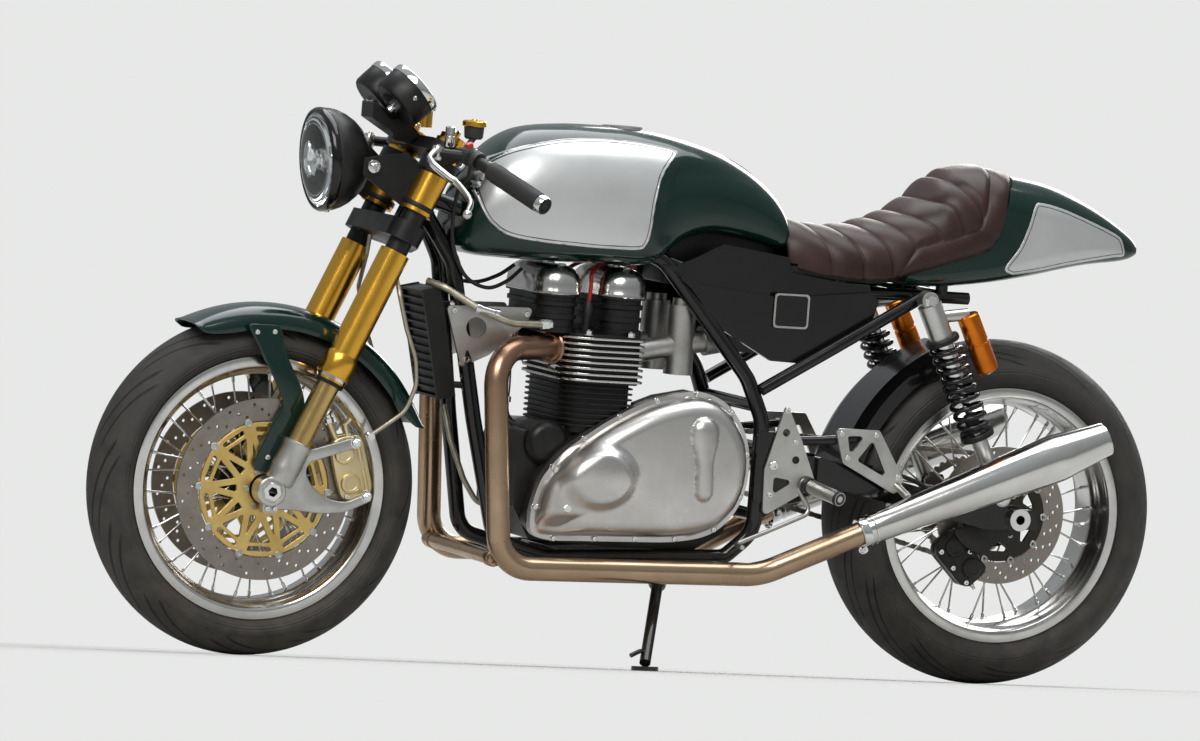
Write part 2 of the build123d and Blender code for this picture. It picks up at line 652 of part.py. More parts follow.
def front_fender():
    """The front mudguard: a curved shell with side skirts, and its arms down to the axle lugs."""
    centre = (FRONT_AXLE[0] + 5, FRONT_AXLE[1] + 3)
    top, skirt, wall, half = FENDER_RADIUS, FENDER_SKIRT, FENDER_WALL, FENDER_HALF
    section = [
        (top - skirt, -half), (top - 12, -half), (top, -half + 26), (top, half - 26), (top - 12, half),
        (top - skirt, half), (top - skirt, half - wall), (top - 14, half - wall), (top - wall, half - 27),
        (top - wall, -half + 27),
        (top - 14, -half + wall), (top - skirt, -half + wall),
    ]
    outline = Polyline(*[(centre[0] + r, y, centre[1]) for r, y in section], close=True)
    axis = Axis((centre[0], 0, centre[1]), (0, 1, 0))
    start, end = FENDER_ANGLES
    shell = revolve(make_face(outline).rotate(axis, -start), axis, start - end)
    arm = [(-762, 594), (-690, 594), (-672, 470), (-690, 400), (-706, 338), (-736, 338), (-728, 440)]
    legs = Part()
    for side in (-1, 1):
        legs += plate_y(arm, side * (LUG_INNER_Y - 0.4), side * (LUG_INNER_Y - 3.6), 6)
        legs += drum_y((-712, 346), 6, side * (LUG_INNER_Y - 3.6), side * (LUG_INNER_Y + 6))
        legs += block(-752, -700, side * (FENDER_HALF - 2), side * (LUG_INNER_Y - 0.4), 582, 594)
    return shell + legs


def headlamp():
    """The headlamp's bucket with its side bolts, and its lens."""
    back = (cos(LAMP_TILT), 0, sin(LAMP_TILT))
    plane = Plane(origin=(LAMP_CENTRE[0], 0, LAMP_CENTRE[1]), x_dir=(0, 1, 0), z_dir=back)
    # distance behind the lens, radius
    rows = [
        (0, LAMP_RADIUS - 4), (4, LAMP_RADIUS), (12, LAMP_RADIUS), (34, LAMP_RADIUS - 6), (64, LAMP_RADIUS - 24),
        (86, LAMP_RADIUS - 52), (94, 0),
    ]
    outline = Polyline((0, 0, 0), *[(r, 0, d) for d, r in rows], close=True)
    shell = plane * revolve(make_face(outline), Axis.Z)
    for side in (-1, 1):
        shell += drum_y(LAMP_BOLT, 7, side * 60, side * (LAMP_EAR_Y + 8))
    # distance in front of the rim, radius
    dome = [(0, LAMP_RADIUS - 7), (3, LAMP_RADIUS - 7), (10, LAMP_RADIUS - 30), (14, LAMP_RADIUS - 60), (15, 0)]
    outline = Polyline((0, 0, 0), *[(r, 0, -d) for d, r in dome], close=True)
    lens = plane * revolve(make_face(outline), Axis.Z)
    return shell, lens


def gauges():
    """The two instrument cups with their dials facing up and back."""
    cups = []
    for side in (-1, 1):
        out = (cos(GAUGE_TILT), 0, sin(GAUGE_TILT))
        plane = Plane(origin=(GAUGE_CENTRE[0], side * GAUGE_Y, GAUGE_CENTRE[1]), x_dir=(0, 1, 0), z_dir=out)
        # distance below the dial's rim, radius
        rows = [
            (3, 0), (3, GAUGE_RADIUS - 7), (0, GAUGE_RADIUS - 6), (0, GAUGE_RADIUS - 2), (2, GAUGE_RADIUS),
            (14, GAUGE_RADIUS), (48, GAUGE_RADIUS - 7), (GAUGE_DEPTH, GAUGE_RADIUS - 18), (GAUGE_DEPTH, 0),
        ]
        points = [(r, 0, -d) for d, r in rows]
        cups.append(plane * revolve(make_face(Polyline(*points, close=True)), Axis.Z))
    return cups


def bar_points(side):
    """The corners of one clip-on bar, from its clamp to its end."""
    return [(-446, 126 * side, 893), (-425, 172 * side, 916), (-340, 340 * side, 843)]


def control_nodes():
    """The clip-on bars with their grips, levers, perches and the brake fluid cup."""
    bars, grips, levers = [], [], []
    for side in (-1, 1):
        corners = [Vector(*p) for p in bar_points(side)]
        reach = (corners[2] - corners[1]).normalized()
        bar = tube_along(corners, BAR_RADIUS, [30])
        clamp = fork_bar(side, CLAMP_START, CLAMP_START + 24, FORK_RADIUS + 8)
        clamp += cylinder_between(fork_point(AXLE_LEAD, side * (FORK_Y + 20), CLAMP_START + 12), corners[0], 11)
        grip = cylinder_between(corners[2] - reach * GRIP_LENGTH, corners[2] - reach * 2, GRIP_RADIUS)
        grips.append(grip - bar)
        perch_middle = corners[1] + reach * 20
        root = Vector(-476, 172 * side, 912)
        perch = cylinder_between(perch_middle - reach * 9, perch_middle + reach * 9, 16)
        perch += cylinder_between(perch_middle, root, 9)
        weight = cylinder_between(corners[2], corners[2] + reach * 14, GRIP_RADIUS - 2)
        fitted = Part() + [bar, clamp, perch, weight]
        bars.append(fitted - fork_bar(side, CLAMP_START - 4, CLAMP_START + 30, FORK_RADIUS))
        way = [
            root, (-492, 192 * side, 897), (-456, 240 * side, 862), (-448, 286 * side, 836), (-460, 306 * side, 815),
        ]
        levers.append(tube_along(way, LEVER_RADIUS, [14, 24, 14]) + Pos(*way[-1]) * Sphere(LEVER_RADIUS + 2.6))
    cup_place = Vector(-398, 118, 944)
    cup = cylinder_between(cup_place, cup_place + Vector(0, 0, 30), 20)
    cup += cylinder_between(cup_place + Vector(0, 10, 3), Vector(-424, 172, 917), 5)
    cup += cylinder_between(cup_place + Vector(0, 0, 30), cup_place + Vector(0, 0, 44), 24)
    return {
        "clip_on_bars": bars,
        "grips": grips,
        "control_levers": levers,
        "brake_fluid_cup": [cup - bars[1]],
    }


def steering_nodes():
    """Everything that turns with the fork."""
    fork = fork_nodes()
    shell, lens = headlamp()
    cups = gauges()
    ears = []
    for side in (-1, 1):
        ear = [(-580, 892), (-580, 862), (-474, 792), (-452, 836), (-462, 872), (-500, 906)]
        plate = plate_y(ear, side * LAMP_EAR_Y, side * (LAMP_EAR_Y + 4), 6)
        ears.append(plate - shell - fork["fork_tubes"] - fork["fork_yokes"])
    mount = plate_y([(-452, 934), (-466, 948), (-545, 990), (-545, 960), (-476, 920)], -30, 30, 3)
    mount = mount - cups - fork["fork_yokes"] - fork["fork_tubes"]
    hoses = [
        tube_along(
            [
                (-497, 66 * s, 752), (-500, 68 * s, 715), (-497, 106 * s, 655), (-482, 112 * s, 598),
                (-460, 112 * s, 545), (-455, 112 * s, 500), (-470, 106 * s, 452), (-528, 92 * s, 404),
            ],
            HOSE_RADIUS,
            [20, 25, 60, 80, 60, 50],
        )
        for s in (-1, 1)
    ]
    nodes = dict(fork)
    nodes.update(control_nodes())
    nodes.update({
        "headlamp_shell": [shell],
        "headlamp_lens": [lens],
        "lamp_and_gauge_brackets": ears + [mount],
        "gauges": cups,
        "front_fender": [front_fender()],
        "front_calipers": front_calipers(),
        "brake_hoses": hoses,
    })
    return nodes


# Engine
def fin_stack(core_x, core_y, fin_y, z0, z1, count):
    """A finned block: a core and a stack of flat fins with rounded corners."""
    stack = block(CYLINDER_X - core_x, CYLINDER_X + core_x, -core_y, core_y, z0, z1)
    pitch = (z1 - z0) / count
    fin = RectangleRounded(2 * FIN_HALF_X, 2 * fin_y, 14)
    for index in range(count):
        low = z0 + pitch * (index + 0.5) - FIN_THICKNESS / 2
        stack += Pos(CYLINDER_X, 0, low) * extrude(fin, FIN_THICKNESS)
    return stack


def engine_nodes():
    """The parallel twin engine with its covers, carburettors and front mounting plates."""
    case_outline = [
        (-238, 428), (-250, 380), (-247, 292), (-215, 236), (-60, 228), (100, 228), (158, 262), (172, 330),
        (170, 420), (120, 452), (40, 462), (-30, BARREL_BASE), (-150, BARREL_BASE),
    ]
    case = plate_y(case_outline, -CRANKCASE_HALF, CRANKCASE_HALF, 8)
    case += block(CYLINDER_X - 86, CYLINDER_X + 86, -CRANKCASE_HALF, CRANKCASE_HALF, BARREL_BASE - 18, BARREL_BASE)
    sprocket_y = CHAIN_Y - SPROCKET_THICKNESS / 2
    sprocket_edge = FRONT_SPROCKET_RADIUS - CHAIN_HALF_DEPTH - SOFT_GAP
    case += drum_y(FRONT_SPROCKET, 13, CRANKCASE_HALF - 6, CHAIN_Y + 10)
    case += drum_y(FRONT_SPROCKET, sprocket_edge, sprocket_y, sprocket_y + SPROCKET_THICKNESS)
    primary_outline = [
        (-236, 270), (-222, 345), (-186, 395), (-98, 462), (0, 503), (62, 516), (134, 492), (180, 410),
        (170, 330), (120, 268), (40, 246), (-170, 240), (-215, 244),
    ]
    cover = plate_y(primary_outline, -PRIMARY_OUTER, -PRIMARY_INNER, 18)
    outer_face = cover.faces().sort_by(Axis.Y)[0]
    cover = fillet(outer_face.edges(), 13)
    boss_plane = Plane(origin=(PRIMARY_BOSS[0], -PRIMARY_OUTER + 2, PRIMARY_BOSS[1]), z_dir=(0, -1, 0))
    boss = boss_plane * Cone(60, 44, 26, align=(Align.CENTER, Align.CENTER, Align.MIN))
    boss = fillet(boss.edges().sort_by(Axis.Y)[0], 12)
    cover += boss
    cover += cylinder_between((78, -PRIMARY_OUTER, 340), (72, -PRIMARY_OUTER, 448), 13)
    inner_case = plate_y(primary_outline, -PRIMARY_INNER, -CRANKCASE_HALF + 4, 18)
    reach = FIN_HALF_X + SOFT_GAP
    case += inner_case - block(CYLINDER_X - reach, CYLINDER_X + reach, -200, 0, BARREL_BASE, HEAD_TOP)
    timing_outline = [(-222, 300), (-205, 250), (-70, 246), (-20, 300), (-30, 380), (-100, 436), (-185, 428)]
    timing = plate_y(timing_outline, CRANKCASE_HALF, TIMING_OUTER, 20)
    timing = fillet(timing.faces().sort_by(Axis.Y)[-1].edges(), 10)
    gear_outline = [(-4, 262), (74, 250), (84, 330), (84, 420), (30, 436), (-10, 380)]
    gear_cover = plate_y(gear_outline, CRANKCASE_HALF, TIMING_OUTER - 8, 12)
    barrel = fin_stack(72, 104, BARREL_FIN_HALF_Y, BARREL_BASE, BARREL_TOP, BARREL_FINS)
    head = fin_stack(76, 112, HEAD_FIN_HALF_Y, BARREL_TOP, HEAD_TOP, HEAD_FINS)
    covers = []
    for x in (-187, -62):
        head += Pos(x, 0, HEAD_TOP) * extrude(RectangleRounded(80, 198, 39), ROCKER_BASE - HEAD_TOP)
        lid = Pos(x, 0, ROCKER_BASE) * extrude(RectangleRounded(92, 210, 45), ROCKER_TOP - ROCKER_BASE)
        covers.append(fillet(lid.faces().sort_by(Axis.Z)[-1].edges(), 16))
    carburettors = []
    for y in (-62, 62):
        throat = cylinder_between((CYLINDER_X + FIN_HALF_X, y, 574), (122, y, 606), 20)
        body = cylinder_between((58, y, 540), (58, y, 664), 26) + throat
        body += cylinder_between((100, y, 602), (128, y, 608), 27)
        body += cylinder_between((58, y, 664), (58, y, 676), 18)
        carburettors.append(body)
    return {
        "engine_crankcase": [case],
        "engine_primary_cover": [cover],
        "engine_right_covers": [timing, gear_cover],
        "engine_barrel": [barrel],
        "engine_head": [head],
        "engine_rocker_covers": covers,
        "carburettors": carburettors,
    }


def chain():
    """The drive chain, as one loop round both sprockets."""
    bands = []
    for grow in (CHAIN_HALF_DEPTH, -CHAIN_HALF_DEPTH):
        rear = Pos(*REAR_AXLE) * Circle(REAR_SPROCKET_RADIUS + grow)
        front = Pos(*FRONT_SPROCKET) * Circle(FRONT_SPROCKET_RADIUS + grow)
        bands.append(make_hull((Sketch() + [rear, front]).edges()))
    loop = bands[0] - bands[1]
    face = Plane(origin=(0, CHAIN_Y + CHAIN_WIDTH / 2, 0), x_dir=(1, 0, 0), z_dir=(0, -1, 0)) * loop
    return extrude(face, CHAIN_WIDTH)


def exhaust_nodes():
    """The header pipes with their balance pipe, the megaphone silencers and their hangers."""
    port_x = CYLINDER_X - FIN_HALF_X - 0.3
    headers = Part()
    silencers = []
    for side in (-1, 1):
        corners = [
            (port_x + 6, 116 * side, 577), (-330, 158 * side, 574), (-299, 177 * side, 190),
            (195, 185 * side, 199), (SILENCER_START[0], side * SILENCER_START[1], SILENCER_START[2]),
        ]
        headers += tube_along(corners, PIPE_RADIUS, [68, 62, 130])
        start = Vector(SILENCER_START[0], side * SILENCER_START[1], SILENCER_START[2])
        end = Vector(SILENCER_END[0], side * SILENCER_END[1], SILENCER_END[2])
        length = (end - start).length
        # distance along the silencer, radius
        rows = [
            (0, 25), (34, 25), (40, 24), (length - 62, SILENCER_RADIUS), (length - 50, SILENCER_RADIUS),
            (length, 31),
        ]
        bore = [(length, 27), (length - 60, 24), (length - 60, 0)]
        points = [(0, 0, 0)] + [(r, 0, d) for d, r in rows + bore]
        silencer = revolve(make_face(Polyline(*points, close=True)), Axis.Z)
        silencer = Plane(origin=start, z_dir=end - start) * silencer
        silencers.append(silencer - tube_along(corners, PIPE_RADIUS, [68, 62, 130]))
    headers += cylinder_between((-303, -172, 205), (-303, 172, 205), 13)
    headers -= block(port_x, port_x + 60, -160, 160, BARREL_TOP, HEAD_TOP + 40)
    plates = [plate - silencers for plate in bracket_plates()]
    return {"exhaust_headers": [headers], "silencers": silencers, "bracket_plates": plates}


def shock_nodes():
    """The two rear shocks: their bodies with both eyes, their springs and their reservoirs."""
    bodies, springs, reservoirs = [], [], []
    for side in (-1, 1):
        top = Vector(SHOCK_TOP[0], side * SHOCK_Y, SHOCK_TOP[1])
        bottom = Vector(SHOCK_BOTTOM[0], side * SHOCK_Y, SHOCK_BOTTOM[1])
        plane = Plane(origin=top, z_dir=bottom - top)
        reach = (bottom - top).normalized()
        upper = cylinder_between(top + reach * 8, top + reach * (SPRING_START - 4), 22)
        upper += cylinder_between(top + reach * (SPRING_START - 8), top + reach * SPRING_START, 30)
        lower = cylinder_between(top + reach * SPRING_END, top + reach * (SPRING_END + 8), 30)
        lower += cylinder_between(top + reach * (SPRING_END + 4), bottom - reach * 9, 15)
        eyes = [drum_y(SHOCK_TOP, SHOCK_EYE_RADIUS, side * SHOCK_EYE_INNER, side * SHOCK_EYE_OUTER)]
        eyes.append(drum_y(SHOCK_BOTTOM, SHOCK_EYE_RADIUS, side * SHOCK_EYE_INNER, side * SHOCK_EYE_OUTER))
        pins = [drum_y(place, SHOCK_PIN_RADIUS, side * 120, side * 190) for place in (SHOCK_TOP, SHOCK_BOTTOM)]
        out = Vector(reach.Z * -1, 0, reach.X)
        reservoir_top = top + reach * 56 + out * 62
        bridge = cylinder_between(top + reach * 34, reservoir_top - reach * 2, 11)
        bodies += [Part() + [upper, eyes[0], bridge] - pins, Part() + [lower, eyes[1]] - pins]
        turns = [(0, SPRING_START)]
        pitch = (SPRING_END - SPRING_START) / SPRING_TURNS
        for index in range(SPRING_TURNS):
            low = SPRING_START + pitch * index
            turns += [
                (SPRING_RADIUS - 8, low), (SPRING_RADIUS, low + pitch * 0.3), (SPRING_RADIUS, low + pitch * 0.6),
                (SPRING_RADIUS - 8, low + pitch * 0.9),
            ]
        turns += [(SPRING_RADIUS - 8, SPRING_END), (0, SPRING_END)]
        outline = Polyline(*[(r, 0, d) for r, d in turns], close=True)
        springs.append(plane * revolve(make_face(outline), Axis.Z))
        reservoir = cylinder_between(reservoir_top, reservoir_top + reach * 110, 20)
        reservoirs.append(reservoir)
    bodies = [body - reservoirs for body in bodies]
    return {"shock_bodies": bodies, "shock_springs": springs, "shock_reservoirs": reservoirs}


def body_nodes():
    """The tank, its filler, the seat, the tail and the side panels."""
    tank = lofted_body(TANK_STATIONS)
    tank -= Part() + [block(x0, x1, -half, half, TUNNEL_BOTTOM, top) for x0, x1, half, top in TUNNEL_STEPS]
    filler = Pos(-60, 0, 965) * Cylinder(36, 16) - tank
    whole = lofted_body(SEAT_STATIONS)
    seat_prism = plate_y([(200, 700)] + SEAT_EDGE + [(200, 1000)], -200, 200)
    wide_prism = Pos(SOFT_GAP, 0, -SOFT_GAP) * seat_prism
    seat = whole & seat_prism
    tail = whole - wide_prism
    panels = []
    outline = [
        (-6, 742), (66, 706), (225, 690), (398, 708), (416, 694), (402, 642), (276, 574), (214, 576), (114, 628),
        (52, 696),
    ]
    for side in (-1, 1):
        panel = plate_y(outline, side * PANEL_Y, side * (PANEL_Y + 10), 5)
        plate = [(212, 636), (280, 636), (280, 698), (212, 698)]
        panel += plate_y(plate, side * (PANEL_Y + 9), side * (PANEL_Y + 13), 4)
        panels.append(panel + plate_y(PANEL_BACK, side * (PANEL_Y - 5), side * (PANEL_Y + 1)))
    return {
        "fuel_tank": [tank],
        "fuel_filler": [filler],
        "seat_pad": [seat],
        "tail_unit": [tail],
        "side_panels": panels,
    }


def oil_nodes():
    """The finned oil cooler in front of the frame, and its oil hoses."""
    top, foot = Vector(COOLER_TOP[0], 0, COOLER_TOP[1]), Vector(COOLER_FOOT[0], 0, COOLER_FOOT[1])
    plane = Plane(origin=foot, x_dir=(0, 1, 0), z_dir=top - foot)
    length = (top - foot).length
    cooler = plane * Pos(0, 0, length / 2) * Box(2 * COOLER_HALF - 16, COOLER_DEPTH - 12, length - 16)
    for index in range(COOLER_FINS):
        z = 4 + (length - 8) * index / (COOLER_FINS - 1)
        cooler += plane * Pos(0, 0, z) * Box(2 * COOLER_HALF - 4, COOLER_DEPTH, 4)
    for side in (-1, 1):
        cooler += plane * Pos(side * (COOLER_HALF - 4), 0, length / 2) * Box(8, COOLER_DEPTH, length)
    for side in (-1, 1):
        cooler += cylinder_between((-408, side * 42, 640), (-362, side * 43, 640), 6)
        cooler += cylinder_between((-380, side * 50, 500), (-338, side * 56, 500), 6)
    routes = [
        (
            [(-424, -44, 680), (-400, -70, 672), (-345, -96, 640), (-285, -108, 617), (-212, -100, 618)],
            [30, 80, 60],
            6.5,
        ),
        (
            [(-368, -24, 462), (-350, -24, 400), (-318, -22, 330), (-290, -22, 290), (-238, -22, 285)],
            [100, 90, 30],
            5,
        ),
    ]
    lines = [tube_along(points, radius, bends) for points, bends, radius in routes]
    return {"oil_cooler": [cooler - lines], "oil_lines": lines}


def bracket_plates():
    """The alloy plates on the frame: engine mounts, footrest plates and silencer hangers."""
    plates = []
    for side in (-1, 1):
        inner, outer = side * BRACKET_Y, side * (BRACKET_Y + PLATE_WALL)
        mount = plate_y([(-392, 640), (-227, 644), (-238, 616), (-305, 556), (-356, 532)], inner, outer, 7)
        plates.append(mount - drum_y((-333, 603), 19, inner - side, outer + side))
        inner, outer = side * PIVOT_PLATE_Y, side * (PIVOT_PLATE_Y + PLATE_WALL)
        rest = plate_y([(237, 505), (203, 385), (206, 300), (306, 360), (270, 442)], inner, outer, 8)
        rest -= drum_y((240, 452), 7, inner - side, outer + side)
        rest -= drum_y((262, 404), 7, inner - side, outer + side)
        plates.append(rest - plate_y([(222, 340), (222, 372), (262, 366)], inner - side, outer + side, 5))
        inner, outer = side * HANGER_Y, side * (HANGER_Y + PLATE_WALL)
        hanger = plate_y([(326, 466), (412, 466), (466, 380), (452, 352), (345, 404)], inner, outer, 8)
        hanger -= plate_y([(350, 454), (384, 454), (358, 418)], inner - side, outer + side, 5)
        hanger -= plate_y([(400, 448), (372, 410), (434, 380)], inner - side, outer + side, 5)
        boss = cylinder_between((454, side * (HANGER_Y + 4), 368), (462, side * 205, 352), 7)
        plates.append(hanger + boss)
    return plates


def rear_nodes():
    """The rear axle, the hugger over the tyre, the rear brake and the foot controls."""
    axle = drum_y(REAR_AXLE, AXLE_RADIUS, -REAR_AXLE_HALF, REAR_AXLE_HALF)
    for side in (-1, 1):
        axle += drum_y(REAR_AXLE, 20, side * (ARM_INNER_Y + ARM_WIDTH), side * (REAR_AXLE_HALF + 4))
    axle -= drum_y(REAR_AXLE, AXLE_BORE, -REAR_AXLE_HALF - 10, REAR_AXLE_HALF + 10)
    top, half = HUGGER_RADIUS + 4, HUGGER_HALF
    section = [
        (top - 34, -half), (top - 10, -half), (top, -half + 30), (top, half - 30), (top - 10, half),
        (top - 34, half), (top - 34, half - 4), (top - 12, half - 4), (top - 4, half - 32),
        (top - 4, -half + 32), (top - 12, -half + 4), (top - 34, -half + 4),
    ]
    outline = Polyline(*[(REAR_AXLE[0] + r, y, REAR_AXLE[1]) for r, y in section], close=True)
    axis = Axis((REAR_AXLE[0], 0, REAR_AXLE[1]), (0, 1, 0))
    start, end = HUGGER_ANGLES
    hugger = revolve(make_face(outline).rotate(axis, -start), axis, start - end)
    for side in (-1, 1):
        hugger += block(394, 430, side * (half - 3), side * (ARM_INNER_Y - 0.3), 374, 398)
    out = (cos(REAR_CALIPER_ANGLE), 0, sin(REAR_CALIPER_ANGLE))
    plane = Plane(origin=(REAR_AXLE[0], 0, REAR_AXLE[1]), x_dir=out, z_dir=(0, -1, 0))
    caliper = Pos(116, 0, REAR_DISC_Y - 22) * extrude(RectangleRounded(58, 104, 10), 48)
    caliper = plane * (caliper - Pos(94, 0, REAR_DISC_Y) * Box(76, 130, DISC_THICKNESS + 2 * PAD_GAP))
    link = plane * Pos(66, 0, 94) * Box(90, 44, 10)
    holder = link + drum_y(REAR_AXLE, 24, -77, -ARM_INNER_Y + 0.3) - drum_y(REAR_AXLE, AXLE_RADIUS, -140, -60)
    pegs = []
    for side in (-1, 1):
        peg = cylinder_between((284, side * (PIVOT_PLATE_Y + 4), 362), (314, side * 244, 345), 12)
        lever_points = [
            (272, side * (PIVOT_PLATE_Y + 4), 352), (296, side * 162, 312), (206, side * 164, 272),
            (150, side * 170, 250), (146, side * 214, 249),
        ]
        lever = tube_along(lever_points, 4, [14, 60, 12])
        pegs += [peg, lever - peg]
    return {
        "rear_axle": [axle],
        "rear_hugger": [hugger],
        "rear_brake": [caliper + holder],
        "foot_controls": pegs,
        "drive_chain": [chain()],
    }


def control_cables():
    """The throttle and clutch cables, from the bars down between fork and tank and back under it."""
    routes = [
        [
            (-416, -186, 908), (-402, -148, 874), (-401, -108, 852), (-396, -74, 808), (-388, -62, 748),
            (-358, -54, 694), (-312, -44, 674), (-270, -30, 686), (-240, -24, 710),
        ],
        [
            (-416, 186, 908), (-402, 148, 872), (-401, 108, 850), (-395, 74, 802), (-385, 60, 740),
            (-352, 50, 690), (-306, 40, 678), (-266, 28, 692), (-236, 22, 714),
        ],
    ]
    cables = [tube_along(points, 3.5, [24, 24, 40, 50, 50, 40, 36]) for points in routes]
    for side in (-1, 1):
        corners = [Vector(*p) for p in bar_points(side)]
        reach = (corners[2] - corners[1]).normalized()
        middle = corners[1] + reach * 20
        near = [
            cylinder_between(middle - reach * 9.3, middle + reach * 9.3, 16.3),
            cylinder_between(corners[1], corners[2], BAR_RADIUS + 0.3),
        ]
        cables = [cable - near for cable in cables]
    return [cable.solids().sort_by(SortBy.VOLUME)[-1] for cable in cables]


# Leaning and moving the upright motorcycle to its parked place
def all_nodes():
    """Every node of the motorcycle, upright, as a list of solids."""
    nodes = {"frame": [frame_tubes()], "swing_arm": [swing_arm()], "side_stand": [side_stand()]}
    groups = [
        wheel_nodes, steering_nodes, engine_nodes, exhaust_nodes, shock_nodes, body_nodes, oil_nodes, rear_nodes,
    ]
    for group in groups:
        nodes.update(group())
    nodes["control_cables"] = control_cables()
    # where two fixed pieces meet, the first is cut to fit the second
    fits = [
        ("bracket_plates", "frame"), ("carburettors", "engine_head"), ("carburettors", "frame"),
        ("clip_on_bars", "fork_yokes"), ("clip_on_bars", "fork_tubes"), ("brake_fluid_cup", "fork_tubes"),
        ("fork_lugs", "front_calipers"), ("side_panels", "frame"), ("frame", "engine_crankcase"),
        ("control_levers", "clip_on_bars"), ("oil_lines", "engine_crankcase"), ("oil_lines", "engine_head"),
        ("oil_cooler", "frame"), ("foot_controls", "bracket_plates"), ("front_fender", "fork_lugs"),
        ("brake_hoses", "front_calipers"), ("brake_hoses", "fork_yokes"), ("frame", "seat_pad"),
        ("frame", "tail_unit"),
    ]
    for first, second in fits:
        nodes[first] = [piece - nodes[second] for piece in nodes[first]]
    return nodes


def parked(nodes):
    """The same nodes, leaned onto the stand, with the origin under the middle of the whole."""
    lean = Rot(LEAN, 0, 0)
    leaned = {}
    for name, pieces in nodes.items():
        leaned[name] = Compound(children=[lean * solid for piece in pieces for solid in piece.solids()])
    box = Compound(children=[Compound(list(shape.solids())) for shape in leaned.values()]).bounding_box()
    shift = Vector(-(box.min.X + box.max.X) / 2, -(box.min.Y + box.max.Y) / 2, -box.min.Z)
    return {name: shape.moved(Location(shift)) for name, shape in leaned.items()}


def main():
    os.makedirs("parts", exist_ok=True)
    for name, shape in parked(all_nodes()).items():
        export_step(shape, "parts/" + name + ".step")


main()
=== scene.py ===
"""Dresses the parked cafe racer motorcycle for its portrait: finishes, trim, floor, light and camera."""
import math

import bmesh
import bpy
from mathutils import Matrix, Vector
from mathutils.bvhtree import BVHTree
from mathutils.kdtree import KDTree


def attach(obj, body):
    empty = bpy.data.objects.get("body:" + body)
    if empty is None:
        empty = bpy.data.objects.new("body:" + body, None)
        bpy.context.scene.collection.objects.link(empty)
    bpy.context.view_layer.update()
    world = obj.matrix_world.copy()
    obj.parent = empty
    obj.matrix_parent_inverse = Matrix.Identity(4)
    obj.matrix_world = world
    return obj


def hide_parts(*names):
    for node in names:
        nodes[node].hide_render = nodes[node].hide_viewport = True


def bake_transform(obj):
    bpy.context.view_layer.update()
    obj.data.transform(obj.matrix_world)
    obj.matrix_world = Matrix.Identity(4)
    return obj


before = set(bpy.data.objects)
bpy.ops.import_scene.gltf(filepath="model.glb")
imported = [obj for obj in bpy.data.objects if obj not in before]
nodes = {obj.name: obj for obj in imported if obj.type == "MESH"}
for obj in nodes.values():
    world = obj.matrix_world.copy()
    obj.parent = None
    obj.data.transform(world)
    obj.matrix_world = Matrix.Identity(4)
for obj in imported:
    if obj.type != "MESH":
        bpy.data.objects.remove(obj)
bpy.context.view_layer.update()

# The motorcycle is drawn upright, in metres, and then leaned onto its stand
LEAN = math.radians(6)
PARKED = Matrix.Translation((-0.0075, 0.08843, 0)) @ Matrix.Rotation(LEAN, 4, "X")
FRONT_AXLE = Vector((-0.71, 0, 0.3003))
REAR_AXLE = Vector((0.71, 0, 0.3156))
FORK_RAKE = math.radians(24)
BACK, SIDEWAYS, UP = (1, 0, 0), (0, 1, 0), (0, 0, 1)
DUST_COLOUR = (0.16, 0.135, 0.105)
BACKDROP_COLOUR = (0.8, 0.81, 0.8, 1)


# Node helpers
def new_material(name):
    """An empty material with a Principled BSDF wired to its output."""
    material = bpy.data.materials.new(name)
    material.use_nodes = True
    tree = material.node_tree
    tree.nodes.clear()
    shader = tree.nodes.new("ShaderNodeBsdfPrincipled")
    output = tree.nodes.new("ShaderNodeOutputMaterial")
    tree.links.new(shader.outputs["BSDF"], output.inputs["Surface"])
    return material, tree, shader


def new_group(name, inputs, outputs):
    """An empty node group; inputs are (name, default), outputs are (name, socket type)."""
    tree = bpy.data.node_groups.new(name, "ShaderNodeTree")
    for label, default in inputs:
        kind = "NodeSocketVector" if default is None else "NodeSocketFloat"
        socket = tree.interface.new_socket(name=label, in_out="INPUT", socket_type=kind)
        if default is not None:
            socket.default_value = default
    for label, kind in outputs:
        tree.interface.new_socket(name=label, in_out="OUTPUT", socket_type=kind)
    return tree, tree.nodes.new("NodeGroupInput"), tree.nodes.new("NodeGroupOutput")


def feed(tree, socket, value):
    """Feeds an input from a socket, or sets its value."""
    if hasattr(value, "is_output"):
        tree.links.new(value, socket)
    else:
        socket.default_value = value


def noise(tree, vector, scale, detail=3.0, roughness=0.5):
    """A noise texture node read at a vector."""
    node = tree.nodes.new("ShaderNodeTexNoise")
    feed(tree, node.inputs["Scale"], scale)
    node.inputs["Detail"].default_value = detail
    node.inputs["Roughness"].default_value = roughness
    tree.links.new(vector, node.inputs["Vector"])
    return node.outputs["Fac"]


def spread(tree, value, low, high, to_low, to_high):
    """A value mapped from one range to another, clamped."""
    node = tree.nodes.new("ShaderNodeMapRange")
    for label, number in (("From Min", low), ("From Max", high), ("To Min", to_low), ("To Max", to_high)):
        feed(tree, node.inputs[label], number)
    tree.links.new(value, node.inputs["Value"])
    return node.outputs["Result"]


def math_node(tree, operation, first, second=0.0, third=0.0):
    """One Math node, fed by sockets or numbers."""
    node = tree.nodes.new("ShaderNodeMath")
    node.operation = operation
    for index, value in enumerate((first, second, third)):
        feed(tree, node.inputs[index], value)
    return node.outputs["Value"]


def mixed_colour(tree, factor, first, second):
    """Two colours mixed by a factor."""
    node = tree.nodes.new("ShaderNodeMix")
    node.data_type = "RGBA"
    feed(tree, node.inputs["Factor"], factor)
    for label, value in ((6, first), (7, second)):
        feed(tree, node.inputs[label], value if hasattr(value, "is_output") else (*value, 1.0))
    return node.outputs[2]


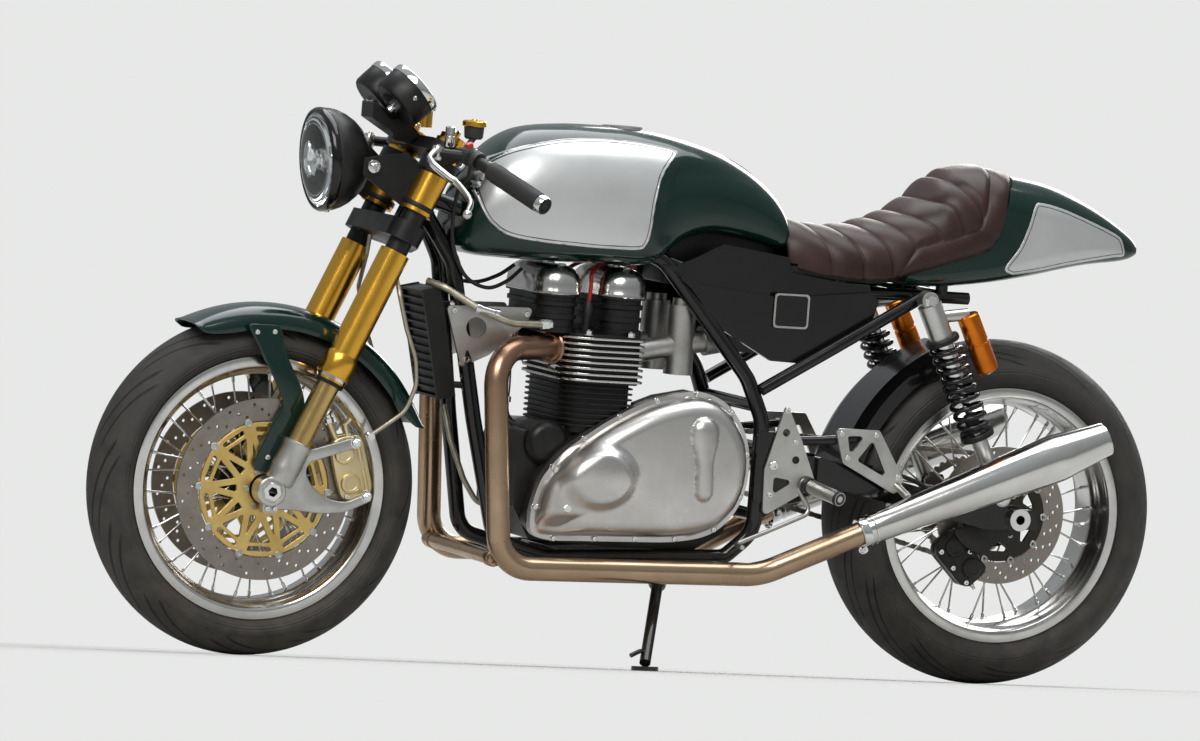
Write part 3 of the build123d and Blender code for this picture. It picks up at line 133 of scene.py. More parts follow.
def bump(tree, height, strength, distance):
    """A Bump node's normal for a height."""
    node = tree.nodes.new("ShaderNodeBump")
    node.inputs["Strength"].default_value = strength
    node.inputs["Distance"].default_value = distance
    tree.links.new(height, node.inputs["Height"])
    return node.outputs["Normal"]


def varied(base, name):
    """A copy of a finish to build on, with its tree and its shader."""
    material = base.copy()
    material.name = name
    tree = material.node_tree
    return material, tree, tree.nodes["Principled BSDF"]


def feeding(shader, label):
    """The socket that feeds a shader's input."""
    return shader.inputs[label].links[0].from_socket


def dress(material, names):
    """Gives CAD nodes one material."""
    for name in names:
        nodes[name].data.materials.clear()
        nodes[name].data.materials.append(material)


def object_point(tree):
    """The point on the piece, in its own coordinates."""
    return tree.nodes.new("ShaderNodeTexCoord").outputs["Object"]


# Effects that several finishes share
def make_handling_group():
    """Smudges and fine specks: a mask of wiped and dusty patches, and a roughness for it."""
    inputs = [("Vector", None), ("Patch size", 9.0), ("Low roughness", 0.1), ("High roughness", 0.3)]
    outputs = [("Mask", "NodeSocketFloat"), ("Roughness", "NodeSocketFloat"), ("Specks", "NodeSocketFloat")]
    tree, enter, leave = new_group("Handling marks", inputs, outputs)
    broad = noise(tree, enter.outputs["Vector"], enter.outputs["Patch size"], 5.0, 0.62)
    fine = noise(tree, enter.outputs["Vector"], 900.0, 2.0)
    mask = spread(tree, broad, 0.38, 0.68, 0.0, 1.0)
    rough = spread(tree, mask, 0.0, 1.0, enter.outputs["Low roughness"], enter.outputs["High roughness"])
    tree.links.new(mask, leave.inputs["Mask"])
    tree.links.new(rough, leave.inputs["Roughness"])
    tree.links.new(spread(tree, fine, 0.62, 0.72, 0.0, 1.0), leave.inputs["Specks"])
    return tree


def make_road_dust_group():
    """Road dust that lies thicker near the floor and in patches."""
    tree, enter, leave = new_group("Road dust", [("Vector", None), ("Top height", 0.5), ("Amount", 0.3)],
            [("Mask", "NodeSocketFloat")])
    split = tree.nodes.new("ShaderNodeSeparateXYZ")
    tree.links.new(enter.outputs["Vector"], split.inputs[0])
    height = spread(tree, split.outputs["Z"], 0.0, enter.outputs["Top height"], 1.0, 0.0)
    patches = spread(tree, noise(tree, enter.outputs["Vector"], 22.0, 6.0, 0.65), 0.3, 0.75, 0.0, 1.0)
    amount = math_node(tree, "MULTIPLY", math_node(tree, "MULTIPLY", height, patches), enter.outputs["Amount"])
    tree.links.new(amount, leave.inputs["Mask"])
    return tree


def make_grain_group():
    """A fine surface grain: a height for bump and a soft colour mask, such as cast or coated metal has."""
    tree, enter, leave = new_group("Fine grain", [("Vector", None), ("Size", 700.0)],
            [("Height", "NodeSocketFloat"), ("Mask", "NodeSocketFloat")])
    small = noise(tree, enter.outputs["Vector"], enter.outputs["Size"], 3.0, 0.6)
    large = noise(tree, enter.outputs["Vector"], 35.0, 4.0, 0.55)
    tree.links.new(small, leave.inputs["Height"])
    tree.links.new(spread(tree, large, 0.35, 0.7, 0.0, 1.0), leave.inputs["Mask"])
    return tree


handling = make_handling_group()
road_dust = make_road_dust_group()
fine_grain = make_grain_group()


def use_group(tree, group, **values):
    """A group node in a material, with its numbers set and its Vector read from Object coordinates."""
    node = tree.nodes.new("ShaderNodeGroup")
    node.node_tree = group
    for label, value in values.items():
        node.inputs[label.replace("_", " ")].default_value = value
    tree.links.new(object_point(tree), node.inputs["Vector"])
    return node


def finish(name, colour, second, metallic, low, high, patch=9.0, coat=0.0, grain=0.0, grain_size=700.0, dust=0.0,
        dust_top=0.5, coat_roughness=0.03, ior=None):
    """A painted, plated or bare finish: two close colours in patches, wiped roughness, fine grain and road dust."""
    material, tree, shader = new_material(name)
    marks = use_group(tree, handling, Patch_size=patch, Low_roughness=low, High_roughness=high)
    tone = mixed_colour(tree, marks.outputs["Mask"], colour, second)
    rough = marks.outputs["Roughness"]
    if dust:
        film = use_group(tree, road_dust, Top_height=dust_top, Amount=dust)
        tone = mixed_colour(tree, film.outputs["Mask"], tone, DUST_COLOUR)
        rough = math_node(tree, "MAXIMUM", rough, spread(tree, film.outputs["Mask"], 0.0, 0.5, 0.0, 0.75))
    tree.links.new(tone, shader.inputs["Base Color"])
    tree.links.new(rough, shader.inputs["Roughness"])
    shader.inputs["Metallic"].default_value = metallic
    if coat:
        shader.inputs["Coat Weight"].default_value = coat
        shader.inputs["Coat Roughness"].default_value = coat_roughness
    if ior:
        shader.inputs["IOR"].default_value = ior
    if grain:
        skin = use_group(tree, fine_grain, Size=grain_size)
        tree.links.new(bump(tree, skin.outputs["Height"], grain, 0.0006), shader.inputs["Normal"])
    return material


racing_green = finish("Racing green lacquer", (0.0012, 0.015, 0.011), (0.0018, 0.019, 0.014), 0.0, 0.16, 0.24,
        patch=4.0, coat=0.55, grain=0.015, grain_size=300.0, ior=1.35)
silver_paint = finish("Silver metallic lacquer", (0.56, 0.57, 0.57), (0.62, 0.63, 0.63), 0.55, 0.28, 0.36, patch=4.0,
        coat=1.0, grain=0.05, grain_size=2600.0)
black_gloss = finish("Gloss black enamel", (0.003, 0.003, 0.003), (0.006, 0.006, 0.006), 0.0, 0.12, 0.26, patch=8.0,
        coat=0.4, grain=0.015, dust=0.22, dust_top=0.45, ior=1.35)
black_satin = finish("Satin black coat", (0.006, 0.006, 0.006), (0.011, 0.011, 0.01), 0.0, 0.34, 0.5, patch=14.0,
        grain=0.12, dust=0.3, dust_top=0.5, ior=1.38)
black_plastic = finish("Moulded black plastic", (0.012, 0.012, 0.012), (0.02, 0.02, 0.019), 0.0, 0.42, 0.6,
        patch=18.0, grain=0.25, grain_size=1500.0)
polished_alloy = finish("Polished alloy", (0.72, 0.71, 0.69), (0.6, 0.59, 0.57), 1.0, 0.12, 0.26, patch=10.0,
        grain=0.04, dust=0.22, dust_top=0.7)
brushed_alloy = finish("Brushed alloy", (0.62, 0.61, 0.59), (0.48, 0.47, 0.45), 1.0, 0.28, 0.42, patch=16.0,
        grain=0.1, grain_size=1100.0, dust=0.3, dust_top=0.7)
cast_alloy = finish("Cast alloy", (0.5, 0.49, 0.47), (0.36, 0.35, 0.33), 1.0, 0.35, 0.5, patch=20.0, grain=0.3,
        grain_size=900.0, dust=0.3, dust_top=0.8)
bright_chrome = finish("Bright chrome", (0.8, 0.8, 0.79), (0.7, 0.7, 0.69), 1.0, 0.05, 0.14, patch=7.0, grain=0.02)
polished_steel = finish("Polished steel pipe", (0.74, 0.73, 0.71), (0.62, 0.6, 0.57), 1.0, 0.1, 0.22, patch=7.0,
        grain=0.03, dust=0.15, dust_top=0.6)
gold_fork = finish("Gold anodised tube", (0.8, 0.44, 0.06), (0.72, 0.38, 0.05), 1.0, 0.2, 0.3, patch=8.0)
pale_gold = finish("Pale gold anodised alloy", (0.8, 0.67, 0.4), (0.7, 0.57, 0.32), 1.0, 0.34, 0.48,
        patch=14.0, grain=0.08)
bronze_tube = finish("Bronze coated stanchion", (0.58, 0.4, 0.16), (0.46, 0.31, 0.12), 1.0, 0.2, 0.34, patch=12.0)
orange_alloy = finish("Orange anodised alloy", (0.72, 0.2, 0.02), (0.6, 0.15, 0.015), 1.0, 0.26, 0.38,
        patch=14.0, grain=0.05)
rubber = finish("Black rubber", (0.012, 0.012, 0.012), (0.022, 0.021, 0.02), 0.0, 0.55, 0.75, patch=30.0, grain=0.3,
        grain_size=1300.0)
leather = finish("Dark brown hide", (0.026, 0.0115, 0.01), (0.038, 0.017, 0.0145), 0.0, 0.34, 0.5, patch=14.0,
        grain=0.3, grain_size=500.0, ior=1.38)
disc_steel = finish("Ground disc steel", (0.3, 0.27, 0.24), (0.4, 0.37, 0.33), 1.0, 0.3, 0.42, patch=30.0, grain=0.12,
        grain_size=1500.0)
header_tint = finish("Heat tinted pipe", (0.5, 0.36, 0.24), (0.4, 0.27, 0.17), 1.0, 0.2, 0.34, patch=6.0)
tyre_rubber = finish("Tyre rubber", (0.016, 0.015, 0.014), (0.03, 0.028, 0.025), 0.0, 0.6, 0.8, patch=24.0, grain=0.3,
        grain_size=900.0, dust=0.35, dust_top=0.7)
braid = finish("Braided steel sleeve", (0.5, 0.47, 0.38), (0.36, 0.33, 0.26), 1.0, 0.34, 0.5, patch=60.0, grain=0.5,
        grain_size=1800.0)
lamp_glass = finish("Clear glass", (0.97, 0.98, 0.98), (0.93, 0.95, 0.95), 0.0, 0.01, 0.04, ior=1.46)
lamp_glass.node_tree.nodes["Principled BSDF"].inputs["Transmission Weight"].default_value = 1.0
mirror_bowl = finish("Lamp bowl mirror", (0.86, 0.87, 0.88), (0.8, 0.81, 0.82), 1.0, 0.04, 0.12, patch=6.0)
dial_face = finish("Pale dial card", (0.66, 0.64, 0.58), (0.6, 0.58, 0.52), 0.0, 0.4, 0.5, patch=20.0)
black_hub = finish("Black anodised hub", (0.014, 0.014, 0.015), (0.022, 0.022, 0.023), 0.6, 0.26, 0.4, patch=16.0,
        grain=0.08, dust=0.25, dust_top=0.6)
spoke_steel = finish("Stainless spoke wire", (0.62, 0.61, 0.59), (0.5, 0.49, 0.47), 1.0, 0.16, 0.3, patch=30.0,
        dust=0.2, dust_top=0.6)
red_plastic = finish("Red switch plastic", (0.46, 0.018, 0.014), (0.34, 0.012, 0.01), 0.0, 0.25, 0.4, patch=20.0)

dressed = {
    racing_green: ["fuel_tank", "tail_unit", "front_fender"],
    leather: ["seat_pad"],
    black_gloss: ["frame", "swing_arm", "side_panels", "rear_hugger", "side_stand"],
    black_satin: ["engine_crankcase", "engine_barrel", "engine_head", "fork_yokes", "headlamp_shell",
            "lamp_and_gauge_brackets", "clip_on_bars", "oil_cooler", "shock_springs", "rear_brake", "gauges"],
    rubber: ["grips", "control_cables"],
    polished_alloy: ["engine_primary_cover", "engine_rocker_covers", "control_levers", "front_laced_wheel",
            "rear_laced_wheel"],
    brushed_alloy: ["bracket_plates", "fork_lugs", "foot_controls", "engine_right_covers", "shock_bodies"],
    cast_alloy: ["carburettors"],
    bright_chrome: ["front_axle", "rear_axle", "fuel_filler"],
    polished_steel: ["silencers"],
    header_tint: ["exhaust_headers"],
    gold_fork: ["fork_tubes", "brake_fluid_cup"],
    pale_gold: ["front_calipers"],
    bronze_tube: ["fork_stanchions"],
    orange_alloy: ["shock_reservoirs"],
    disc_steel: ["rear_sprocket", "drive_chain"],
    braid: ["brake_hoses", "oil_lines"],
    lamp_glass: ["headlamp_lens"],
}
for material, names in dressed.items():
    dress(material, names)


# Shape helpers; all of them draw upright, in metres
def along(rows, x):
    """A value read from a table of (x, value) rows, with straight runs between them."""
    if x <= rows[0][0]:
        return rows[0][1]
    for (x0, v0), (x1, v1) in zip(rows, rows[1:]):
        if x <= x1:
            return v0 + (v1 - v0) * (x - x0) / (x1 - x0)
    return rows[-1][1]


def eased(rows, x):
    """A value read from a table of (x, value) rows, on a smooth curve through them."""
    if x <= rows[0][0]:
        return rows[0][1]
    for i in range(len(rows) - 1):
        x0, v0 = rows[i]
        x1, v1 = rows[i + 1]
        if x <= x1:
            before = rows[i - 1] if i else (2 * x0 - x1, 2 * v0 - v1)
            after = rows[i + 2] if i + 2 < len(rows) else (2 * x1 - x0, 2 * v1 - v0)
            slope0 = (v1 - before[1]) / (x1 - before[0]) * (x1 - x0)
            slope1 = (after[1] - v0) / (after[0] - x0) * (x1 - x0)
            t = (x - x0) / (x1 - x0)
            leaving = (2 * t**3 - 3 * t**2 + 1) * v0 + (t**3 - 2 * t**2 + t) * slope0
            return leaving + (3 * t**2 - 2 * t**3) * v1 + (t**3 - t**2) * slope1
    return rows[-1][1]


def eased_step(value):
    """A smooth step from 0 to 1."""
    value = max(0.0, min(1.0, value))
    return value * value * (3 - 2 * value)


def signed_power(value, power):
    """A power that keeps the sign."""
    return math.copysign(abs(value) ** power, value)


def new_ring(bm, points):
    """A closed ring at points, as its verts and its edges, each edge once and always in the same order."""
    verts = bmesh.ops.create_circle(bm, segments=len(points), radius=1)["verts"]
    for vert, point in zip(verts, points):
        vert.co = point
    return verts, list(dict.fromkeys(edge for vert in verts for edge in vert.link_edges))


def close_holes(bm):
    """Fills every open rim with one face."""
    bmesh.ops.holes_fill(bm, edges=[edge for edge in bm.edges if edge.is_boundary], sides=0)


def on_curve(p0, p1, p2, p3, t):
    """A point between the middle two of four points, on the smooth curve through them."""
    second = 2 * p0 - 5 * p1 + 4 * p2 - p3
    third = 3 * p1 - p0 - 3 * p2 + p3
    return 0.5 * ((2 * p1) + (p2 - p0) * t + second * t**2 + third * t**3)


def break_edges(piece, name):
    """Rounds a piece's sharp edges a little."""
    edge = piece.modifiers.new(name, "BEVEL")
    edge.width, edge.segments, edge.limit_method, edge.angle_limit = 0.0009, 2, "ANGLE", math.radians(50)


def fitted(name, bm, body, material, stands_for=(), smooth=32, recalculate=True):
    """Leans a drawn piece onto the stand and makes it an object that rides on a body, if one is named."""
    if recalculate:
        bmesh.ops.recalc_face_normals(bm, faces=bm.faces)
    bmesh.ops.transform(bm, matrix=PARKED, verts=bm.verts)
    mesh = bpy.data.meshes.new(name)
    bm.to_mesh(mesh)
    bm.free()
    mesh.materials.append(material)
    piece = bpy.data.objects.new(name, mesh)
    bpy.context.scene.collection.objects.link(piece)
    mesh.shade_smooth()
    if smooth:
        mesh.set_sharp_from_angle(angle=math.radians(smooth))
    if body:
        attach(piece, body)
    if stands_for:
        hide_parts(*stands_for)
    return piece


# Tank
TANK_TOP = [(-0.372, 0.79), (-0.366, 0.828), (-0.35, 0.868), (-0.33, 0.902), (-0.3, 0.935), (-0.255, 0.959),
        (-0.179, 0.97), (-0.103, 0.972), (-0.049, 0.971), (0.014, 0.963), (0.093, 0.945), (0.153, 0.923),
        (0.2, 0.894), (0.232, 0.862), (0.248, 0.832), (0.256, 0.805)]
TANK_BOTTOM = [(-0.372, 0.745), (-0.354, 0.733), (-0.3, 0.729), (-0.24, 0.728), (-0.126, 0.728), (-0.03, 0.73),
        (-0.008, 0.741), (0.027, 0.768), (0.06, 0.784), (0.103, 0.791), (0.186, 0.782), (0.235, 0.772),
        (0.256, 0.776)]
TANK_HALF = [(-0.372, 0.08), (-0.36, 0.092), (-0.335, 0.106), (-0.3, 0.116), (-0.255, 0.124), (-0.18, 0.13),
        (-0.1, 0.132), (-0.03, 0.13), (0.02, 0.124), (0.11, 0.108), (0.195, 0.092), (0.24, 0.08), (0.256, 0.066)]


def tank_section(x, angle):
    """The tank's skin at a distance along it and an angle round it, from the left side over the top."""
    top, low, half = eased(TANK_TOP, x), eased(TANK_BOTTOM, x), eased(TANK_HALF, x)
    middle = low + (top - low) * 0.42
    sine, cosine = math.sin(angle), math.cos(angle)
    if sine >= 0:
        y = half * signed_power(cosine, 0.8)
        z = middle + (top - middle) * abs(sine) ** 0.86
    else:
        y = half * signed_power(cosine, 0.42)
        z = middle - (middle - low) * abs(sine) ** 0.46
    # the knee dents behind the side panels
    start = -0.038 + 0.046 * eased_step((z - 0.86) / 0.085)
    into = eased_step((x - start) / 0.036) * eased_step((0.245 - x) / 0.11)
    dent = 0.015 * into * eased_step((0.95 - z) / 0.055) * eased_step((z - 0.748) / 0.045)
    if abs(y) > 0.03:
        y -= math.copysign(dent, y)
    return Vector((x, y, z))


def tank_mesh():
    """The tank's shell as a bmesh: rings of points round it, bridged, with closed ends."""
    bm = bmesh.new()
    steps = 120
    front, length, rings = -0.372, 0.628, 84
    xs = [front + length * (0.5 - 0.5 * math.cos(math.pi * i / rings)) for i in range(rings + 1)]
    edges = []
    for x in xs:
        edges += new_ring(bm, [tank_section(x, 2 * math.pi * index / steps) for index in range(steps)])[1]
    bmesh.ops.bridge_loops(bm, edges=edges)
    close_holes(bm)
    for face in [face for face in bm.faces if len(face.verts) > 8]:
        bmesh.ops.inset_region(bm, faces=[face], thickness=0.008, depth=0.004)
    bmesh.ops.recalc_face_normals(bm, faces=bm.faces)
    return bm


def smooth_outline(points, count):
    """Points evenly spread on a smooth closed curve through a few corner points."""
    n = len(points)
    dense = []
    for i in range(n):
        p0, p1, p2, p3 = (Vector(points[(i + k) % n]) for k in (-1, 0, 1, 2))
        dense += [on_curve(p0, p1, p2, p3, k / 24) for k in range(24)]
    lengths = [0.0]
    for a, b in zip(dense, dense[1:] + dense[:1]):
        lengths.append(lengths[-1] + (b - a).length)
    dense.append(dense[0])
    result, j = [], 0
    for i in range(count):
        want = lengths[-1] * i / count
        while lengths[j + 1] < want:
            j += 1
        t = (want - lengths[j]) / max(lengths[j + 1] - lengths[j], 1e-9)
        result.append(dense[j].lerp(dense[j + 1], t))
    return result


def inlay(name, outline, surface, side, material, lift=0.0006):
    """A thin painted panel laid on a surface from the side; each point knows its distance to the panel's edge."""
    rim = smooth_outline(outline, 176)
    centre = sum(rim, Vector((0, 0))) / len(rim)
    bm = bmesh.new()
    distance = bm.verts.layers.float.new("rim_distance")
    edges = []
    for share in (1.0, 0.985, 0.97, 0.955, 0.94, 0.92, 0.89, 0.85, 0.8, 0.72, 0.62, 0.5, 0.36, 0.22, 0.1):
        flats = [centre + (point - centre) * share for point in rim]
        ring, made = new_ring(bm, [Vector((flat.x, 0, flat.y)) for flat in flats])
        edges += made
        for vert, flat in zip(ring, flats):
            hit = surface.ray_cast(Vector((flat.x, side * 0.4, flat.y)), Vector((0, -side, 0)))[0]
            if hit is None:
                hit = Vector((flat.x, side * 0.09, flat.y))
            vert.co = hit + Vector((0, side * lift, 0))
            vert[distance] = min((flat - other).length for other in rim)
    bmesh.ops.bridge_loops(bm, edges=edges)
    bmesh.ops.holes_fill(bm, edges=[e for e in bm.edges if e.is_boundary and e.verts[0][distance] > 0.004], sides=0)
    bm.normal_update()
    outward = sum(face.normal.y * face.calc_area() for face in bm.faces)
    if outward * side < 0:
        bmesh.ops.reverse_faces(bm, faces=bm.faces)
    piece = fitted(name, bm, "frame_body", material, smooth=0, recalculate=False)
    wall = piece.modifiers.new("Paint thickness", "SOLIDIFY")
    wall.thickness, wall.offset = 0.0008, -1.0


def lined_silver():
    """Silver lacquer with a thin dark line a little inside the panel's edge."""
    material, tree, shader = varied(silver_paint, "Silver lacquer with dark line")
    reader = tree.nodes.new("ShaderNodeAttribute")
    reader.attribute_name = "rim_distance"
    offset = math_node(tree, "ABSOLUTE", math_node(tree, "SUBTRACT", reader.outputs["Fac"], 0.0058))
    line = spread(tree, offset, 0.0006, 0.001, 1.0, 0.0)
    before = feeding(shader, "Base Color")
    tree.links.new(mixed_colour(tree, line, before, (0.01, 0.013, 0.012)), shader.inputs["Base Color"])
    tree.links.new(spread(tree, line, 0.0, 1.0, 0.55, 0.0), shader.inputs["Metallic"])
    return material


TANK_PANEL = [(-0.357, 0.85), (-0.345, 0.886), (-0.302, 0.92), (-0.228, 0.942), (-0.153, 0.951), (-0.077, 0.951),
        (-0.018, 0.945), (0.008, 0.94), (0.012, 0.934), (-0.006, 0.918), (-0.025, 0.892), (-0.036, 0.851),
        (-0.041, 0.8), (-0.048, 0.77), (-0.062, 0.761), (-0.11, 0.76), (-0.175, 0.761), (-0.289, 0.769),
        (-0.332, 0.788), (-0.352, 0.816)]
TAIL_PANEL = [(0.716, 0.882), (0.736, 0.886), (0.776, 0.878), (0.818, 0.865), (0.865, 0.849), (0.899, 0.836),
        (0.912, 0.826), (0.922, 0.802), (0.914, 0.796), (0.893, 0.794), (0.799, 0.777), (0.74, 0.764), (0.69, 0.755),
        (0.676, 0.755), (0.662, 0.766), (0.688, 0.803), (0.703, 0.84)]


def make_tank():
    """The tank with its silver side panels; gives back the panels' finish."""
    bm = tank_mesh()
    skin = BVHTree.FromBMesh(bm)
    lined = lined_silver()
    for side, word in ((-1, "left"), (1, "right")):
        inlay("Tank_panel_" + word, TANK_PANEL, skin, side, lined)
    fitted("Tank_shell", bm, "frame_body", racing_green, ["fuel_tank"], smooth=50)
    return lined


def make_tail_panels(lined):
    """The silver panels on the sides of the tail, laid on the tail's own surface."""
    bm = bmesh.new()
    bm.from_mesh(nodes["tail_unit"].data)
    bmesh.ops.transform(bm, matrix=PARKED.inverted(), verts=bm.verts)
    skin = BVHTree.FromBMesh(bm)
    bm.free()
    for side, word in ((-1, "left"), (1, "right")):
        inlay("Tail_panel_" + word, TAIL_PANEL, skin, side, lined)


# Seat
SEAT_FRONT, SEAT_REAR = 0.236, 0.692
PAD_SWELL, ROLL_WIDTH = 0.0078, 0.043
SEAT_TOP = [(0.236, 0.812), (0.265, 0.819), (0.299, 0.815), (0.358, 0.813), (0.416, 0.825), (0.474, 0.849),
        (0.52, 0.882), (0.547, 0.91), (0.575, 0.927), (0.615, 0.936), (0.655, 0.936), (0.692, 0.931)]
SEAT_LOW = [(0.236, 0.745), (0.299, 0.733), (0.377, 0.729), (0.44, 0.733), (0.473, 0.745), (0.55, 0.77), (0.6, 0.786),
        (0.627, 0.799), (0.645, 0.822), (0.656, 0.852), (0.665, 0.885), (0.676, 0.91), (0.692, 0.9295)]
SEAT_HALF = [(0.236, 0.082), (0.26, 0.09), (0.34, 0.109), (0.42, 0.117), (0.5, 0.118), (0.57, 0.116), (0.63, 0.112),
        (0.654, 0.106), (0.665, 0.092), (0.676, 0.068), (0.685, 0.042), (0.692, 0.012)]
# where each sewn channel crosses the seat's middle, and how far back the cover's rows run to at the side
SEAT_CHANNELS = [SEAT_FRONT, 0.299, 0.35, 0.397, 0.437, 0.474, 0.513, 0.553]
SEAT_SWEEP = [(0.236, 0.008), (0.299, 0.024), (0.35, 0.032), (0.397, 0.04), (0.437, 0.047), (0.474, 0.055),
        (0.513, 0.062), (0.553, 0.062), (0.62, 0.03), (0.692, 0.0)]


def off_line(x, z, a, b):
    """The distance of a point (x, z) from the line between two points."""
    way = (b[0] - a[0], b[1] - a[1])
    t = max(0.0, min(1.0, ((x - a[0]) * way[0] + (z - a[1]) * way[1]) / (way[0] ** 2 + way[1] ** 2)))
    return math.hypot(x - a[0] - way[0] * t, z - a[1] - way[1] * t)


def seat_point(row, angle):
    """The seat cover on a row that follows the sewn channels, at an angle over it from the left edge to the right."""
    sine, cosine = math.sin(angle), max(math.cos(angle), 0.0)
    side = abs(sine)
    x = row + eased(SEAT_SWEEP, row) * side**2.6
    top, low, half = eased(SEAT_TOP, x), along(SEAT_LOW, x), eased(SEAT_HALF, x)
    height = max(top - low, 0.0005)
    z = low + height * cosine**0.7
    flat = Vector((x, half * signed_power(sine, 0.78), z))
    # a smooth roll runs round the edge of the rear half
    edge = min(off_line(x, z, a, b) for a, b in zip(SEAT_LOW, SEAT_LOW[1:]))
    width = ROLL_WIDTH * eased_step((x - 0.43) / 0.06)
    before = max([line for line in SEAT_CHANNELS if line <= row], default=SEAT_FRONT)
    after = min([line for line in SEAT_CHANNELS if line > row], default=0.0)
    share = (row - before) / (after - before) if after else 0.0
    swell = PAD_SWELL * math.sin(math.pi * min(max(share, 0.0), 1.0)) ** 0.42
    if not after:
        swell = PAD_SWELL * eased_step((row - 0.553) / 0.02) ** 0.5 * (1 - eased_step((row - 0.63) / 0.05))
    if width > 0.002:
        swell *= max(0.0, min(1.0, (edge - width) / 0.01)) ** 0.5
        if edge < width:
            fade = 1 - 0.7 * eased_step((x - 0.64) / 0.03)
            swell = 0.007 * (width / ROLL_WIDTH) * math.sin(math.pi * max(edge / width, 0.0)) ** 0.55 * fade
    return flat + Vector((0, sine, cosine + 0.15)).normalized() * swell


def make_seat():
    """The stuffed seat cover with its channels, hump and edge roll, and the pan and electrics under it."""
    bm = bmesh.new()
    bmesh.ops.create_grid(bm, x_segments=300, y_segments=120, size=1.0)
    for vert in bm.verts:
        vert.co = seat_point(SEAT_FRONT + (vert.co.x + 1) / 2 * (SEAT_REAR - SEAT_FRONT), vert.co.y * math.pi / 2)
    rim = [edge for edge in bm.edges if edge.is_boundary]
    skirt = bmesh.ops.extrude_edge_only(bm, edges=rim)["geom"]
    for vert in {item for item in skirt if isinstance(item, bmesh.types.BMVert)}:
        vert.co = vert.co + (Vector((0.45, 0, 0.76)) - vert.co) * 0.12
    close_holes(bm)
    seat = fitted("Saddle_cover", bm, "frame_body", leather, ["seat_pad"], smooth=0)
    bm = bmesh.new()
    slab(bm, rounded([(0.206, 0.736), (0.3, 0.726), (0.4, 0.722), (0.462, 0.73), (0.47, 0.742), (0.38, 0.738),
            (0.3, 0.742), (0.206, 0.756)], 0.003), (0, 0.096, 0), 0.192, 0.002)
    slab(bm, rounded([(0.02, 0.7), (0.232, 0.7), (0.232, 0.778), (0.18, 0.796), (0.09, 0.806), (0.03, 0.79)], 0.006),
            (0, 0.052, 0), 0.104, 0.002)
    fitted("Saddle_pan_and_electrics", bm, "frame_body", black_satin)


# Small shapes that many pieces share
def turned(bm, place, way, rows, steps=48, closed=False):
    """Turns a profile of (distance along the line, radius) rows about a line, in a mesh under way."""
    place, axis = Vector(place), Vector(way).normalized()
    side = axis.orthogonal().normalized()
    before = set(bm.verts)
    verts = [bm.verts.new(place + axis * d + side * r) for d, r in rows]
    pairs = list(zip(verts, verts[1:])) + ([(verts[-1], verts[0])] if closed else [])
    edges = [bm.edges.new(pair) for pair in pairs]
    bmesh.ops.spin(bm, geom=verts + edges, cent=place, axis=axis, angle=2 * math.pi, steps=steps, use_merge=True)
    bmesh.ops.remove_doubles(bm, verts=[vert for vert in bm.verts if vert not in before], dist=0.000002)


def smooth_path(points, per=8):
    """Points on a smooth open curve through a few points."""
    points = [Vector(p) for p in points]
    line = [points[0] * 2 - points[1]] + points + [points[-1] * 2 - points[-2]]
    result = []
    for p0, p1, p2, p3 in zip(line, line[1:], line[2:], line[3:]):
        result += [on_curve(p0, p1, p2, p3, k / per) for k in range(per)]
    result.append(points[-1])
    return result


def rod(bm, points, radius, sides=12, squash=1.0, side=None):
    """A bar along points, with closed ends; squash flattens or widens it along its first side direction."""
    points = [Vector(p) for p in points]
    edges, across = [], Vector(side) if side else None
    for index, point in enumerate(points):
        ahead = points[min(index + 1, len(points) - 1)]
        behind = points[max(index - 1, 0)]
        way = (ahead - behind).normalized()
        across = (across - way * across.dot(way)).normalized() if across else way.orthogonal().normalized()
        up = way.cross(across)
        reach = radius[index] if isinstance(radius, (list, tuple)) else radius
        angles = [2 * math.pi * k / sides for k in range(sides)]
        edges += new_ring(bm, [point + across * (reach * squash * math.cos(angle)) + up * (reach * math.sin(angle))
                for angle in angles])[1]
    bmesh.ops.bridge_loops(bm, edges=edges)
    bmesh.ops.holes_fill(bm, edges=[edge for edge in edges if edge.is_boundary], sides=0)


def slab(bm, outline, place, depth, edge=0.001, segments=2, u=BACK, v=UP):
    """A flat piece with an outline of (u, v) points, its faces along u and v, with its edges rounded."""
    place, u, v = Vector(place), Vector(u).normalized(), Vector(v).normalized()
    out = u.cross(v).normalized()
    corners = [bm.verts.new(place + u * a + v * b) for a, b in outline]
    top = bmesh.ops.extrude_face_region(bm, geom=[bm.faces.new(corners)], use_keep_orig=True)["geom"]
    raised = [item for item in top if isinstance(item, bmesh.types.BMVert)]
    bmesh.ops.translate(bm, vec=out * depth, verts=raised)
    made = set(corners + raised)
    bmesh.ops.recalc_face_normals(bm, faces=[face for face in bm.faces if face.verts[0] in made])
    if edge:
        sharp = [e for e in bm.edges if e.verts[0] in made and len(e.link_faces) == 2 and e.calc_face_angle() > 0.6]
        bmesh.ops.bevel(bm, geom=sharp, offset=edge, segments=segments, profile=0.5, affect="EDGES", material=-1)


